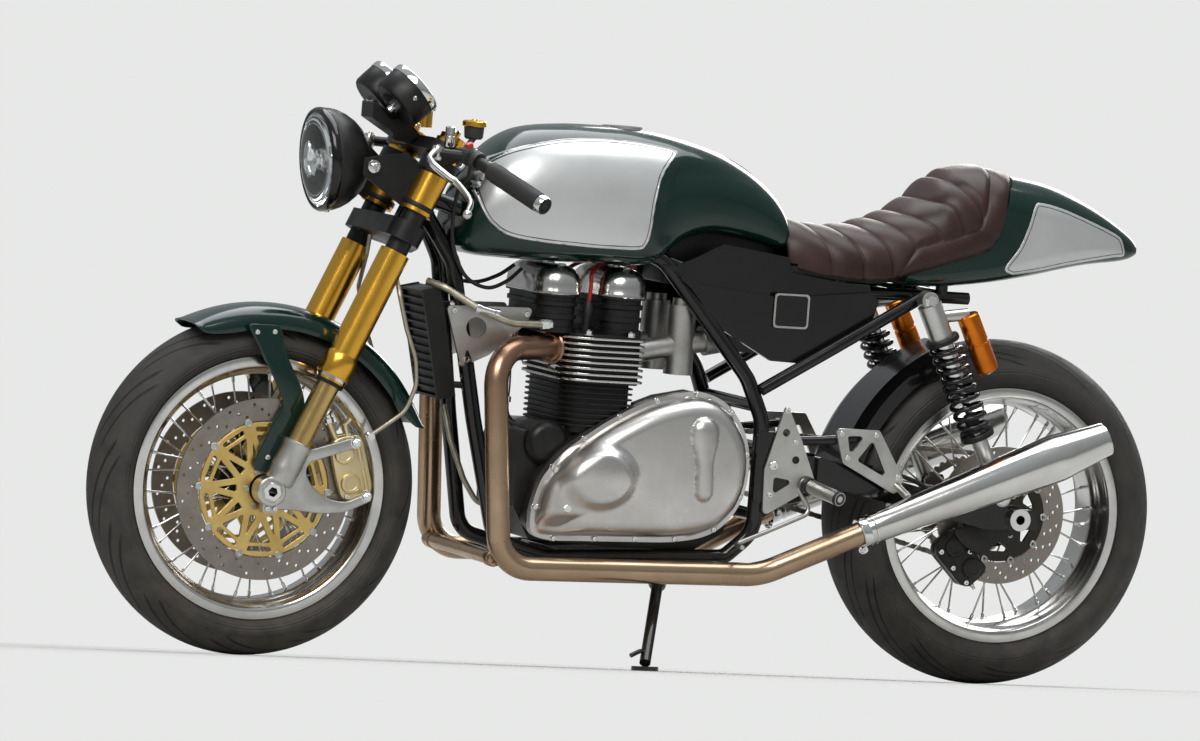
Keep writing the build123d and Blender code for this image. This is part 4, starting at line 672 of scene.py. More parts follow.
def pierced(bm, loops, place, depth):
    """A flat piece bounded by its first outline and pierced by the rest, all as lists of (u, v) points."""
    place, u, v = Vector(place), Vector(BACK), Vector(UP)
    out = u.cross(v)
    before = set(bm.faces)
    edges = []
    for loop in loops:
        ring = [bm.verts.new(place + u * a + v * b) for a, b in loop]
        edges += [bm.edges.new(pair) for pair in zip(ring, ring[1:] + ring[:1])]
    bmesh.ops.triangle_fill(bm, edges=edges, use_beauty=True, normal=out)
    faces = [face for face in bm.faces if face not in before]
    top = bmesh.ops.extrude_face_region(bm, geom=faces, use_keep_orig=True)["geom"]
    bmesh.ops.translate(bm, vec=out * depth, verts=[item for item in top if isinstance(item, bmesh.types.BMVert)])
    bmesh.ops.recalc_face_normals(bm, faces=[face for face in bm.faces if face not in before])


def ring_points(radius, count, centre=(0.0, 0.0)):
    """Points round a circle."""
    return [(centre[0] + radius * math.cos(2 * math.pi * k / count),
            centre[1] + radius * math.sin(2 * math.pi * k / count)) for k in range(count)]


def rounded(points, radius, steps=4):
    """An outline with its corners rounded."""
    result = []
    for i, corner in enumerate(points):
        corner = Vector(corner)
        before, after = Vector(points[i - 1]), Vector(points[(i + 1) % len(points)])
        reach = min(radius, (before - corner).length * 0.45, (after - corner).length * 0.45)
        a, b = corner + (before - corner).normalized() * reach, corner + (after - corner).normalized() * reach
        for k in range(steps + 1):
            t = k / steps
            result.append(tuple(a * (1 - t) ** 2 + corner * 2 * t * (1 - t) + b * t**2))
    return result


def round_axle(axle, radius, angle, y=0.0):
    """A point at a radius and angle round an axle, and y to its side."""
    return axle + Vector((radius * math.cos(angle), y, radius * math.sin(angle)))


def polar(radius, degrees_round):
    """A point (x, z) by its distance from the middle and degrees round it."""
    return (radius * math.cos(math.radians(degrees_round)), radius * math.sin(math.radians(degrees_round)))


def tilted(degrees_up):
    """A direction tilted up from straight back, and the one square to it."""
    tilt = math.radians(degrees_up)
    return Vector((math.cos(tilt), 0, math.sin(tilt))), Vector((-math.sin(tilt), 0, math.cos(tilt)))


def turned_piece(name, place, way, rows, steps, body, material, closed=False):
    """A piece that is one turned profile."""
    bm = bmesh.new()
    turned(bm, place, way, rows, steps, closed)
    fitted(name, bm, body, material, smooth=40)


def cap_screw(bm, place, way, radius, height):
    """A round screw head with a key socket."""
    rows = [(0, radius), (height * 0.8, radius), (height, radius * 0.86), (height, radius * 0.5),
            (height * 0.4, radius * 0.5), (height * 0.4, 0)]
    turned(bm, place, way, rows, 12)


def hex_nut(bm, place, way, radius, height, bore=0.45):
    """A chamfered nut on its washer."""
    turned(bm, place, way, [(0, radius * 1.25), (height * 0.16, radius * 1.25), (height * 0.18, radius)], 24)
    rows = [(height * 0.16, radius), (height * 0.9, radius), (height, radius * 0.88), (height, radius * bore),
            (height * 1.25, radius * bore * 0.9), (height * 1.25, 0)]
    turned(bm, place, way, rows, 6)


def fork_point(back, y, up):
    """A point of the fork's own frame: back from the line through the axle, sideways, and up the fork."""
    cosine, sine = math.cos(FORK_RAKE), math.sin(FORK_RAKE)
    return Vector((FRONT_AXLE.x + back * cosine + up * sine, y, FRONT_AXLE.z + up * cosine - back * sine))


# Materials that follow a wheel
def wheel_point(tree, axle):
    """The point on a wheel in upright coordinates from its axle, split into back, side and up."""
    mapping = tree.nodes.new("ShaderNodeMapping")
    mapping.inputs["Rotation"].default_value = (-LEAN, 0, 0)
    mapping.inputs["Location"].default_value = PARKED.inverted().translation - axle
    tree.links.new(object_point(tree), mapping.inputs["Vector"])
    split = tree.nodes.new("ShaderNodeSeparateXYZ")
    tree.links.new(mapping.outputs["Vector"], split.inputs[0])
    return split.outputs


def from_axle(tree, point):
    """The distance from the axle's line."""
    square = math_node(tree, "ADD", math_node(tree, "MULTIPLY", point["X"], point["X"]),
            math_node(tree, "MULTIPLY", point["Z"], point["Z"]))
    return math_node(tree, "SQRT", square)


def tyre_finish(name, axle, radius, half, repeats):
    """Tyre rubber with slanted rain grooves in the tread, coloured near black inside them as painted shade, and fine
    ribs on the walls.
    """
    material, tree, shader = varied(tyre_rubber, name)
    point = wheel_point(tree, axle)
    reach = from_axle(tree, point)
    angle = math_node(tree, "ARCTAN2", point["Z"], point["X"])
    side = math_node(tree, "ABSOLUTE", point["Y"])
    shift = math_node(tree, "MULTIPLY", math_node(tree, "SIGN", point["Y"]), 0.25)
    mask = 0.0
    # repeats round the wheel, slant, half width, inner and outer edge as shares of the tyre's half width
    for share, slant, width, inner, outer, offset in ((0.5, 26.0, 0.055, 0.12, 0.8, 0.0),
            (0.5, 30.0, 0.045, 0.36, 0.92, 0.42)):
        place = math_node(tree, "MULTIPLY_ADD", angle, repeats * share / (2 * math.pi), shift)
        place = math_node(tree, "ADD", math_node(tree, "MULTIPLY_ADD", side, slant, place), offset)
        centred = math_node(tree, "SUBTRACT", math_node(tree, "FRACT", place), 0.5)
        line = spread(tree, math_node(tree, "ABSOLUTE", centred), width * 0.7, width, 1.0, 0.0)
        window = math_node(tree, "MULTIPLY", spread(tree, side, half * inner, half * inner + 0.003, 0.0, 1.0),
                spread(tree, side, half * outer - 0.004, half * outer, 1.0, 0.0))
        mask = math_node(tree, "MAXIMUM", math_node(tree, "MULTIPLY", line, window), mask)
    mask = math_node(tree, "MULTIPLY", mask, spread(tree, reach, radius - 0.042, radius - 0.038, 0.0, 1.0))
    ribs = math_node(tree, "MULTIPLY", math_node(tree, "SINE", math_node(tree, "MULTIPLY", reach, 1100.0)),
            spread(tree, reach, radius - 0.052, radius - 0.045, 1.0, 0.0))
    ribs = math_node(tree, "MULTIPLY", ribs, spread(tree, reach, radius - 0.06, radius - 0.056, 0.0, 0.12))
    grain = use_group(tree, fine_grain, Size=900.0)
    height = math_node(tree, "SUBTRACT", math_node(tree, "ADD",
            math_node(tree, "MULTIPLY", grain.outputs["Height"], 0.12), ribs), mask)
    tree.links.new(bump(tree, height, 0.9, 0.004), shader.inputs["Normal"])
    # the grooves are coloured near black: painted shade inside them
    before = feeding(shader, "Base Color")
    tree.links.new(mixed_colour(tree, math_node(tree, "MULTIPLY", mask, 0.92), before, (0.002, 0.002, 0.002)),
            shader.inputs["Base Color"])
    return material


def disc_finish(name, axle, inner, carrier):
    """Ground steel outside a radius, with fine turning lines, and a coated spider inside it."""
    material, tree, shader = varied(disc_steel, name)
    point = wheel_point(tree, axle)
    reach = from_axle(tree, point)
    outside = spread(tree, reach, inner - 0.0016, inner - 0.0012, 0.0, 1.0)
    rings = tree.nodes.new("ShaderNodeCombineXYZ")
    tree.links.new(reach, rings.inputs[0])
    streaks = noise(tree, rings.outputs[0], 1800.0, 3.0, 0.6)
    before = feeding(shader, "Base Color")
    tone = mixed_colour(tree, spread(tree, streaks, 0.3, 0.7, 0.0, 0.55), before, (0.2, 0.17, 0.14))
    tree.links.new(mixed_colour(tree, outside, carrier, tone), shader.inputs["Base Color"])
    rough = feeding(shader, "Roughness")
    tree.links.new(math_node(tree, "ADD", rough, spread(tree, streaks, 0.3, 0.7, -0.05, 0.1)),
            shader.inputs["Roughness"])
    return material


dress(tyre_finish("Front tyre rubber", FRONT_AXLE, 0.3, 0.06, 24), ["front_tyre"])
dress(tyre_finish("Rear tyre rubber", REAR_AXLE, 0.315, 0.09, 24), ["rear_tyre"])
dress(disc_finish("Front disc steel and gold spider", FRONT_AXLE, 0.121, (0.62, 0.42, 0.13)), ["front_discs"])
dress(disc_finish("Rear disc steel and black spider", REAR_AXLE, 0.086, (0.05, 0.045, 0.04)), ["rear_disc"])


# Wheels
SPOKE_COUNT = 36


def rim_profile(h):
    """The section of a flanged rim of half width h with a drop centre, as (sideways, radius) rows."""
    side = [(0, 0.198), (h * 0.36, 0.198), (h * 0.48, 0.1995), (h * 0.6, 0.205), (h * 0.72, 0.2095),
            (h * 0.86, 0.2112), (h * 0.95, 0.2128), (h - 0.0006, 0.2152), (h, 0.2185), (h, 0.2292),
            (h - 0.0007, 0.2318), (h - 0.0025, 0.233), (h - 0.0042, 0.232), (h - 0.005, 0.2295), (h - 0.005, 0.2225),
            (h * 0.62, 0.2205), (h * 0.5, 0.2118), (0, 0.2118)]
    return side + [(-y, r) for y, r in reversed(side[1:-1])]


def make_wheel(word, axle, half, flange_y, flange, hub_rows, body):
    """A laced wheel: its rim, hub and spokes with their nipples, and the tyre valve."""
    bm = bmesh.new()
    turned(bm, axle, (0, 1, 0), rim_profile(half), 128, closed=True)
    fitted(word + "_rim", bm, body, polished_alloy, [word.lower() + "_laced_wheel"])
    bm = bmesh.new()
    turned(bm, axle, (0, 1, 0), hub_rows, 64)
    fitted(word + "_hub", bm, body, black_hub)
    bm = bmesh.new()
    nipples = bmesh.new()
    for index in range(SPOKE_COUNT):
        side = 1 if index % 2 else -1
        outer = (index // 2) % 2
        lean = 24 if outer else -24
        rim_angle = 2 * math.pi * (index + 0.5) / SPOKE_COUNT
        hub_angle = rim_angle + math.radians(lean)
        out = 0.003 if outer else -0.003
        start = round_axle(axle, flange - 0.005, hub_angle, side * (flange_y + out))
        end = round_axle(axle, 0.2, rim_angle, side * flange_y * 0.3)
        reach = (end - start).normalized()
        head = start - Vector((0, side * math.copysign(0.003, out), 0))
        rod(bm, [head, start, start + reach * 0.01, end], 0.0018, 8)
        turned(nipples, end - reach * 0.013, reach, [(0, 0.0019), (0.001, 0.003), (0.009, 0.003), (0.01, 0.0042),
                (0.0135, 0.0046)], 8)
        turned(nipples, head - Vector((0, side * math.copysign(0.0015, out), 0)),
                Vector((0, side * math.copysign(1, out), 0)), [(0, 0), (0.0003, 0.0036), (0.0022, 0.0036)], 8)
    fitted(word + "_spokes", bm, body, spoke_steel, smooth=40)
    valve = round_axle(axle, 0.199, 0.9)
    inward = (axle - valve).normalized()
    turned(nipples, valve, inward, [(0, 0.005), (0.003, 0.005), (0.004, 0.0034), (0.022, 0.0034), (0.023, 0.004),
            (0.03, 0.004), (0.031, 0)], 12)
    fitted(word + "_spoke_nipples", nipples, body, bright_chrome, smooth=40)


def make_wheels():
    """Both wheels, and the buttons, screws and nuts of their discs and sprocket."""
    front_hub = [(-0.0645, 0.013), (-0.0645, 0.0375), (-0.063, 0.039), (-0.038, 0.035), (-0.0355, 0.0492),
            (-0.034, 0.05), (-0.03, 0.05), (-0.0285, 0.049), (-0.026, 0.03), (-0.022, 0.0265)]
    front_hub += [(-y, radius) for y, radius in reversed(front_hub)]
    make_wheel("Front", FRONT_AXLE, 0.049, 0.032, 0.05, front_hub, "front_wheel")
    rear_hub = [(-0.0625, 0.013), (-0.0625, 0.049), (-0.061, 0.05), (-0.046, 0.045), (-0.0425, 0.059), (-0.041, 0.06),
            (-0.036, 0.06), (-0.0345, 0.059), (-0.032, 0.039), (-0.028, 0.036), (0.028, 0.036), (0.032, 0.039),
            (0.0345, 0.059), (0.036, 0.06), (0.042, 0.06), (0.0445, 0.056), (0.098, 0.055),
            (0.1, 0.053), (0.1, 0.013)]
    make_wheel("Rear", REAR_AXLE, 0.074, 0.038, 0.06, rear_hub, "rear_wheel")
    bm = bmesh.new()
    for side in (-1, 1):
        for index in range(10):
            angle = 2 * math.pi * index / 10
            place = round_axle(FRONT_AXLE, 0.12, angle, side * 0.0712)
            turned(bm, place, (0, side, 0), [(0, 0.0072), (0.0012, 0.0072), (0.002, 0.0064), (0.002, 0.0038),
                    (0.0006, 0.0034), (0.0006, 0)], 20)
        for index in range(6):
            angle = 2 * math.pi * index / 6
            place = round_axle(FRONT_AXLE, 0.033, angle, side * 0.0714)
            cap_screw(bm, place, (0, side, 0), 0.0048, 0.005)
    fitted("Front_disc_buttons", bm, "front_wheel", brushed_alloy)
    bm = bmesh.new()
    for index in range(10):
        angle = 2 * math.pi * index / 10
        place = round_axle(REAR_AXLE, 0.085, angle, -0.0692)
        turned(bm, place, (0, -1, 0), [(0, 0.007), (0.0012, 0.007), (0.002, 0.0062), (0.002, 0.0036),
                (0.0006, 0.0032), (0.0006, 0)], 20)
    for index in range(6):
        angle = 2 * math.pi * index / 6
        place = round_axle(REAR_AXLE, 0.041, angle, -0.0695)
        cap_screw(bm, place, (0, -1, 0), 0.0052, 0.005)
        place = round_axle(REAR_AXLE, 0.045, angle, 0.106)
        hex_nut(bm, place, (0, 1, 0), 0.006, 0.006)
    fitted("Rear_disc_buttons", bm, "rear_wheel", brushed_alloy)


# Front mudguard
def make_fender():
    """The front mudguard: a smooth domed shell with a rolled rim, on two flat arms."""
    centre = Vector((-0.705, 0, 0.3033))
    bm = bmesh.new()
    start, end, around, across = math.radians(118), math.radians(22), 72, 40
    bmesh.ops.create_grid(bm, x_segments=around, y_segments=across, size=1.0)
    for vert in bm.verts:
        share = (vert.co.x + 1) / 2
        angle = start + (end - start) * share
        # the skirt grows from both tips to its full depth
        ends = min(1.0, min(share / 0.16, (1 - share) / 0.2))
        depth = 0.01 + 0.032 * math.sqrt(max(0.0, 1 - (1 - ends) ** 2))
        u = vert.co.y
        width = 0.0665 * (0.9 + 0.1 * math.sqrt(max(0.0, 1 - (1 - ends) ** 2)))
        lie = u * math.pi / 2
        y = width * signed_power(math.sin(lie), 0.86)
        drop = depth * (1 - max(math.cos(lie), 0.0) ** 0.62)
        reach = 0.3205 - drop
        vert.co = centre + Vector((reach * math.cos(angle), y, reach * math.sin(angle)))
    piece = fitted("Front_fender_shell", bm, "steering", racing_green, ["front_fender"], smooth=0)
    wall = piece.modifiers.new("Sheet wall", "SOLIDIFY")
    wall.thickness, wall.offset = 0.0026, -1.0
    break_edges(piece, "Rolled edge")
    bm = bmesh.new()
    arm = rounded([(-0.768, 0.59), (-0.704, 0.59), (-0.69, 0.54), (-0.655, 0.478), (-0.648, 0.45), (-0.656, 0.42),
            (-0.698, 0.34), (-0.71, 0.33), (-0.728, 0.332), (-0.737, 0.345), (-0.706, 0.42), (-0.686, 0.452),
            (-0.712, 0.5), (-0.744, 0.552)], 0.014)
    for side in (-1, 1):
        slab(bm, arm, (0, -0.0772 if side < 0 else 0.0828, 0), 0.0056, 0.0018, 3)
    fitted("Front_fender_arms", bm, "steering", racing_green)
    bm = bmesh.new()
    for side in (-1, 1):
        for x, z in ((-0.748, 0.576), (-0.716, 0.578)):
            cap_screw(bm, (x, side * 0.0828, z), (0, side, 0), 0.0045, 0.004)
        cap_screw(bm, (-0.712, side * 0.0828, 0.358), (0, side, 0), 0.005, 0.005)
    fitted("Front_fender_screws", bm, "steering", bright_chrome)


# Headlamp
def lamp_place(back, radius, angle=0.0):
    """A point by its distance behind the headlamp's rim, distance from its middle line and angle round it."""
    way, up = tilted(5)
    across = Vector(SIDEWAYS) * (radius * math.cos(angle))
    return Vector((-0.63, 0, 0.88)) + way * back + across + up * (radius * math.sin(angle))


def make_headlamp():
    """The headlamp: a deep bucket, its rim, a domed clear lens, a bright bowl and the bulb's shield."""
    way = lamp_place(1, 0) - lamp_place(0, 0)
    bm = bmesh.new()
    shell = [(0.004, 0.083), (0.006, 0.088), (0.014, 0.0905), (0.022, 0.09), (0.034, 0.0868), (0.048, 0.08),
            (0.062, 0.07), (0.074, 0.0575), (0.084, 0.042), (0.09, 0.026), (0.0935, 0.011), (0.094, 0.0)]
    turned(bm, lamp_place(0, 0), way, shell, 96)
    turned(bm, lamp_place(0.004, 0), way, [(0.0, 0.083), (0.01, 0.082), (0.03, 0.076)], 96)
    for side in (-1, 1):
        turned(bm, (-0.562, side * 0.06, 0.878), (0, side, 0), [(0, 0.0085), (0.034, 0.0085)], 32)
    fitted("Headlamp_bucket", bm, "steering", black_satin, ["headlamp_shell", "headlamp_lens"])
    rim = [(-0.004, 0.0842), (-0.0045, 0.086), (-0.003, 0.0895), (0.001, 0.0918), (0.006, 0.0922), (0.011, 0.0915),
            (0.013, 0.09), (0.012, 0.0885), (0.002, 0.0842)]
    turned_piece("Headlamp_rim", lamp_place(0, 0), way, rim, 96, "steering", black_gloss, closed=True)
    bowl = [(0.001, 0.0838), (0.004, 0.0815), (0.012, 0.078), (0.022, 0.07), (0.032, 0.059), (0.04, 0.046),
            (0.046, 0.031), (0.049, 0.017), (0.05, 0.015)]
    turned_piece("Headlamp_bowl", lamp_place(0, 0), way, bowl, 96, "steering", mirror_bowl)
    turned_piece("Headlamp_bulb_shield", lamp_place(0, 0), way,
            [(0.05, 0.0152), (0.046, 0.015), (0.044, 0.011), (0.03, 0.0102), (0.022, 0.01), (0.02, 0.0085),
            (0.02, 0.0)], 32, "steering", bright_chrome)
    outside = [(0.0005, 0.0843), (-0.003, 0.0838), (-0.0052, 0.079), (-0.0078, 0.07), (-0.0103, 0.056),
            (-0.0124, 0.04), (-0.0138, 0.02), (-0.0142, 0.0)]
    inside = [(d + 0.0026, r) for d, r in reversed(outside[2:])]
    turned_piece("Headlamp_glass", lamp_place(0, 0), way, outside + inside + [(0.0005, 0.08)], 96,
            "steering", lamp_glass)
    bm = bmesh.new()
    for side in (-1, 1):
        turned(bm, (-0.562, side * 0.0985, 0.878), (0, side, 0),
                [(0, 0.0), (0, 0.0115), (0.002, 0.012), (0.004, 0.0112), (0.0045, 0.007), (0.01, 0.0066),
                (0.0108, 0.0055), (0.0108, 0.0028), (0.0085, 0.0026), (0.0085, 0)], 32)
    turned(bm, lamp_place(0.016, 0.0895, -math.pi / 2), lamp_place(0, 1, -math.pi / 2) - lamp_place(0, 0),
            [(0, 0.0045), (0.003, 0.0045), (0.004, 0.0038), (0.004, 0)], 12)
    fitted("Headlamp_side_bolts", bm, "steering", bright_chrome)


# Instruments
def dial_place(side, up, radius=0.0, angle=0.0):
    """A point by its height over a dial's rim, distance from the dial's middle and angle round it."""
    out, high = tilted(43)
    across = Vector(SIDEWAYS) * (radius * math.cos(angle))
    return Vector((-0.475, side * 0.056, 1.022)) + out * up + across + high * (radius * math.sin(angle))


def make_gauges():
    """Two instruments: cups, bright bezels, pale dials with ticks and a needle, and clear glasses."""
    cups, bezels, dials, marks, glasses, screws = (bmesh.new() for _ in range(6))
    for side in (-1, 1):
        out = dial_place(side, 1) - dial_place(side, 0)
        turned(cups, dial_place(side, 0), out, [(-0.0125, 0.0492), (-0.014, 0.05), (-0.032, 0.0499), (-0.048, 0.0492),
                (-0.0525, 0.0472), (-0.0545, 0.044), (-0.055, 0.04), (-0.055, 0)], 72)
        turned(bezels, dial_place(side, 0), out, [(-0.0138, 0.0496), (-0.0138, 0.0507), (-0.01, 0.051),
                (-0.003, 0.0508), (-0.0006, 0.0498), (0.0, 0.0484), (-0.0006, 0.0466), (-0.004, 0.0456)], 72)
        turned(dials, dial_place(side, 0), out, [(-0.0078, 0), (-0.0078, 0.0462), (-0.004, 0.0462)], 72)
        turned(glasses, dial_place(side, 0), out, [(-0.0034, 0), (-0.0034, 0.0458), (-0.0048, 0.0458), (-0.0048, 0)],
                72)
        for index in range(41):
            angle = math.radians(225 - 270 * index / 40)
            long = 0.008 if index % 5 == 0 else 0.0045
            a, b = dial_place(side, -0.0075, 0.0415 - long, angle), dial_place(side, -0.0075, 0.0415, angle)
            rod(marks, [a, b], 0.0007 if index % 5 == 0 else 0.0004, 4)
        needle = math.radians(225)
        rod(marks, [dial_place(side, -0.0068, -0.008, needle), dial_place(side, -0.0068, 0.034, needle)],
                [0.0014, 0.0004], 6)
        turned(marks, dial_place(side, -0.0078), out, [(0, 0.0055), (0.0022, 0.0052), (0.0026, 0.004), (0.0026, 0)],
                24)
        turned(screws, dial_place(side, -0.03, 0.0488, 0.0 if side > 0 else math.pi), (0, side, 0),
                [(0, 0.0042), (0.002, 0.0042), (0.0032, 0.003), (0.0032, 0)], 16)
        turned(screws, dial_place(side, -0.055), -out, [(0, 0.012), (0.006, 0.012), (0.007, 0.007), (0.014, 0.007),
                (0.014, 0)], 20)
    fitted("Gauge_cups", cups, "steering", black_satin, ["gauges"])
    fitted("Gauge_bezels", bezels, "steering", bright_chrome, smooth=40)
    fitted("Gauge_dials", dials, "steering", dial_face)
    fitted("Gauge_marks", marks, "steering", black_plastic)
    fitted("Gauge_glasses", glasses, "steering", lamp_glass)
    fitted("Gauge_screws", screws, "steering", bright_chrome)


lined_finish = make_tank()
make_tail_panels(lined_finish)
make_seat()
make_wheels()
make_fender()
make_headlamp()
make_gauges()


# Brakes
def make_front_discs():
    """The drilled rings and the lacy gold spiders of the two front discs."""
    rings, spiders = bmesh.new(), bmesh.new()
    ring_loops = [ring_points(0.16, 120), ring_points(0.121, 96)]
    for row in range(20):
        for step in range(3):
            reach = 0.131 + 0.0095 * step
            angle = 2 * math.pi * (row + 0.3 * step) / 20
            ring_loops.append(ring_points(0.003, 10, (reach * math.cos(angle), reach * math.sin(angle))))
    spider_loops = [ring_points(0.1185, 120), ring_points(0.0265, 48)]
    for index in range(10):
        middle = 36 * index + 18
        spider_loops.append(rounded([polar(0.1115, middle - 12), polar(0.1115, middle + 12),
                polar(0.103, middle + 12), polar(0.103, middle - 12)], 0.004))
        spider_loops.append(rounded([polar(0.0965, middle - 12.5), polar(0.0965, middle + 12.5),
                polar(0.056, middle)], 0.005))
        spider_loops.append(rounded([polar(0.05, middle + 10), polar(0.05, middle + 26), polar(0.085, middle + 18)],
                0.004))
    for side in (-1, 1):
        base = FRONT_AXLE + Vector((0, side * 0.068, 0))
        pierced(rings, ring_loops, base + Vector((0, 0.0025, 0)), 0.005)
        pierced(spiders, spider_loops, base + Vector((0, 0.0035, 0)), 0.007)
    fitted("Front_disc_rings", rings, "front_wheel", front_ring_steel, ["front_discs"])
    piece = fitted("Front_disc_spiders", spiders, "front_wheel", gold_spider)
    break_edges(piece, "Broken edges")


def make_front_calipers():
    """The two radial calipers: halves joined by a bridge, piston bosses, pads, bolts and bleed nipples."""
    bodies, pistons, bolts, pads = (bmesh.new() for _ in range(4))
    out, up = tilted(17)

    def place(u, v, y):
        return FRONT_AXLE + out * u + up * v + Vector((0, y, 0))

    half = rounded([(0.131, -0.05), (0.15, -0.058), (0.186, -0.054), (0.192, -0.04), (0.1925, 0.04), (0.186, 0.054),
            (0.15, 0.058), (0.131, 0.05), (0.129, 0.012), (0.129, -0.012)], 0.01)
    bridge = rounded([(0.172, -0.052), (0.19, -0.048), (0.192, -0.016), (0.184, -0.01), (0.184, 0.01), (0.192, 0.016),
            (0.19, 0.048), (0.172, 0.052)], 0.004)
    for side in (-1, 1):
        for near, far in ((0.0765, 0.091), (0.045, 0.0595)):
            slab(bodies, half, FRONT_AXLE + Vector((0, max(side * near, side * far), 0)), 0.0145, 0.003, 3, out, up)
        slab(bodies, bridge, FRONT_AXLE + Vector((0, max(side * 0.058, side * 0.078), 0)), 0.02, 0.0015, 2, out, up)
        for v in (-0.027, 0.027):
            turned(pistons, place(0.152, v, side * 0.0905), (0, side, 0),
                    [(0, 0.0185), (0.003, 0.0182), (0.0052, 0.0165), (0.006, 0.014), (0.006, 0.0115),
                    (0.0052, 0.0105), (0.0052, 0)], 40)
            rod(pistons, [place(0.18, v - 0.02, side * 0.0915), place(0.18, v + 0.02, side * 0.0915)], 0.0035, 10)
        for v in (-0.049, 0.049):
            cap_screw(bolts, place(0.176, v, side * 0.0905), (0, side, 0), 0.0052, 0.006)
            cap_screw(bolts, place(0.14, v * 0.96, side * 0.0905), (0, side, 0), 0.0046, 0.005)
        rod(bolts, [place(0.188, -0.03, side * 0.068), place(0.188, 0.03, side * 0.068)], 0.0026, 10)
        turned(bolts, place(0.17, 0.056, side * 0.084), up, [(0, 0.0045), (0.004, 0.0045), (0.005, 0.003),
                (0.011, 0.003), (0.012, 0.0022), (0.012, 0)], 12)
        rod(pistons, [place(0.146, 0.05, side * 0.08), place(0.141, 0.088, side * 0.08)], 0.006, 14)
        rod(pistons, [place(0.168, 0.05, side * 0.084), place(0.166, 0.076, side * 0.086),
                place(0.178, 0.084, side * 0.088)], 0.0045, 12)
        turned(bolts, place(0.141, 0.086, side * 0.08), up, [(0, 0.0), (0, 0.0085), (0.008, 0.0085), (0.009, 0.006),
                (0.014, 0.006), (0.014, 0)], 6)
        for y in (0.062, 0.074):
            slab(pads, rounded([(0.134, -0.036), (0.16, -0.04), (0.16, 0.04), (0.134, 0.036)], 0.004),
                    FRONT_AXLE + Vector((0, side * y + 0.0015, 0)), 0.003, 0.0, 2, out, up)
    fitted("Front_caliper_bodies", bodies, "steering", pale_gold, ["front_calipers"])
    fitted("Front_caliper_pistons", pistons, "steering", pale_gold)
    fitted("Front_caliper_bolts", bolts, "steering", bright_chrome)
    fitted("Front_caliper_pads", pads, "steering", disc_steel)


def make_fork_lugs():
    """The axle lugs at the foot of each fork leg, with the forked arms that carry the calipers."""
    bodies, arms, screws = bmesh.new(), bmesh.new(), bmesh.new()
    arm = rounded([(-0.7, 0.345), (-0.668, 0.376), (-0.64, 0.376), (-0.562, 0.401), (-0.547, 0.396), (-0.549, 0.384),
            (-0.64, 0.353), (-0.645, 0.336), (-0.63, 0.31), (-0.6, 0.291), (-0.568, 0.286), (-0.53, 0.303),
            (-0.52, 0.298), (-0.524, 0.288), (-0.566, 0.268), (-0.61, 0.264), (-0.66, 0.268), (-0.7, 0.268)], 0.012)
    for side in (-1, 1):
        low, high = fork_point(0.008, side * 0.1, 0.02), fork_point(0.008, side * 0.1, 0.098)
        way = high - low
        turned(bodies, low, way, [(0.0, 0.0), (0.0, 0.0225), (0.006, 0.0262), (0.03, 0.0268), (0.066, 0.0258),
                (0.07, 0.0272), (0.076, 0.0272), (0.078, 0.025), (0.078, 0.0216)], 48)
        rows = [(0.08, 0.0135), (0.08, 0.024), (0.082, 0.0262), (0.1, 0.027), (0.115, 0.0262), (0.1172, 0.024),
                (0.1176, 0.019), (0.1168, 0.018), (0.1168, 0.0135)]
        turned(bodies, (FRONT_AXLE.x, 0, FRONT_AXLE.z), (0, side, 0), rows, 56)
        slab(bodies, rounded([(-0.722, 0.282), (-0.722, 0.262), (-0.694, 0.262), (-0.694, 0.282)], 0.003),
                (0, 0.108 if side > 0 else -0.088, 0), 0.02, 0.001)
        slab(arms, arm, (0, side * 0.096 + 0.006, 0), 0.012, 0.003, 3)
        for x, z in ((-0.715, 0.27), (-0.701, 0.27)):
            cap_screw(screws, (x, side * 0.1085, z), (0, side, 0), 0.0046, 0.005)
        for x, z in ((-0.556, 0.392), (-0.529, 0.298)):
            hex_nut(screws, (x, side * 0.1015, z), (0, side, 0), 0.0078, 0.007)
        turned(screws, (FRONT_AXLE.x, side * 0.1165, FRONT_AXLE.z), (0, side, 0),
                [(0, 0.0175), (0.0035, 0.0175), (0.0045, 0.0165), (0.0045, 0.009)], 6)
    fitted("Fork_lug_bodies", bodies, "steering", brushed_alloy, ["fork_lugs"])
    fitted("Fork_lug_arms", arms, "steering", brushed_alloy)
    fitted("Fork_lug_bolts", screws, "steering", bright_chrome)


# Engine
def fin_finish(name, base):
    """Satin black fins whose outer edges are machined bright."""
    material, tree, shader = varied(base, name)
    normal = tree.nodes.new("ShaderNodeSeparateXYZ")
    tree.links.new(tree.nodes.new("ShaderNodeTexCoord").outputs["Normal"], normal.inputs[0])
    bare = spread(tree, math_node(tree, "ABSOLUTE", normal.outputs["Z"]), 0.4, 0.6, 1.0, 0.0)
    before = feeding(shader, "Base Color")
    tree.links.new(mixed_colour(tree, bare, before, (0.66, 0.65, 0.63)), shader.inputs["Base Color"])
    tree.links.new(bare, shader.inputs["Metallic"])
    rough = feeding(shader, "Roughness")
    tree.links.new(math_node(tree, "SUBTRACT", rough, math_node(tree, "MULTIPLY", bare, 0.16)),
            shader.inputs["Roughness"])
    return material


def header_pipe_finish():
    """The heat tinted pipe, redder towards the ports."""
    material, tree, shader = varied(header_tint, "Header pipe, redder near the ports")
    height = wheel_point(tree, Vector((0, 0, 0)))["Z"]
    wander = math_node(tree, "MULTIPLY", noise(tree, object_point(tree), 14.0), 0.05)
    red = spread(tree, math_node(tree, "ADD", height, wander), 0.44, 0.6, 0.0, 0.85)
    tree.links.new(mixed_colour(tree, red, feeding(shader, "Base Color"), (0.34, 0.185, 0.13)),
            shader.inputs["Base Color"])
    return material


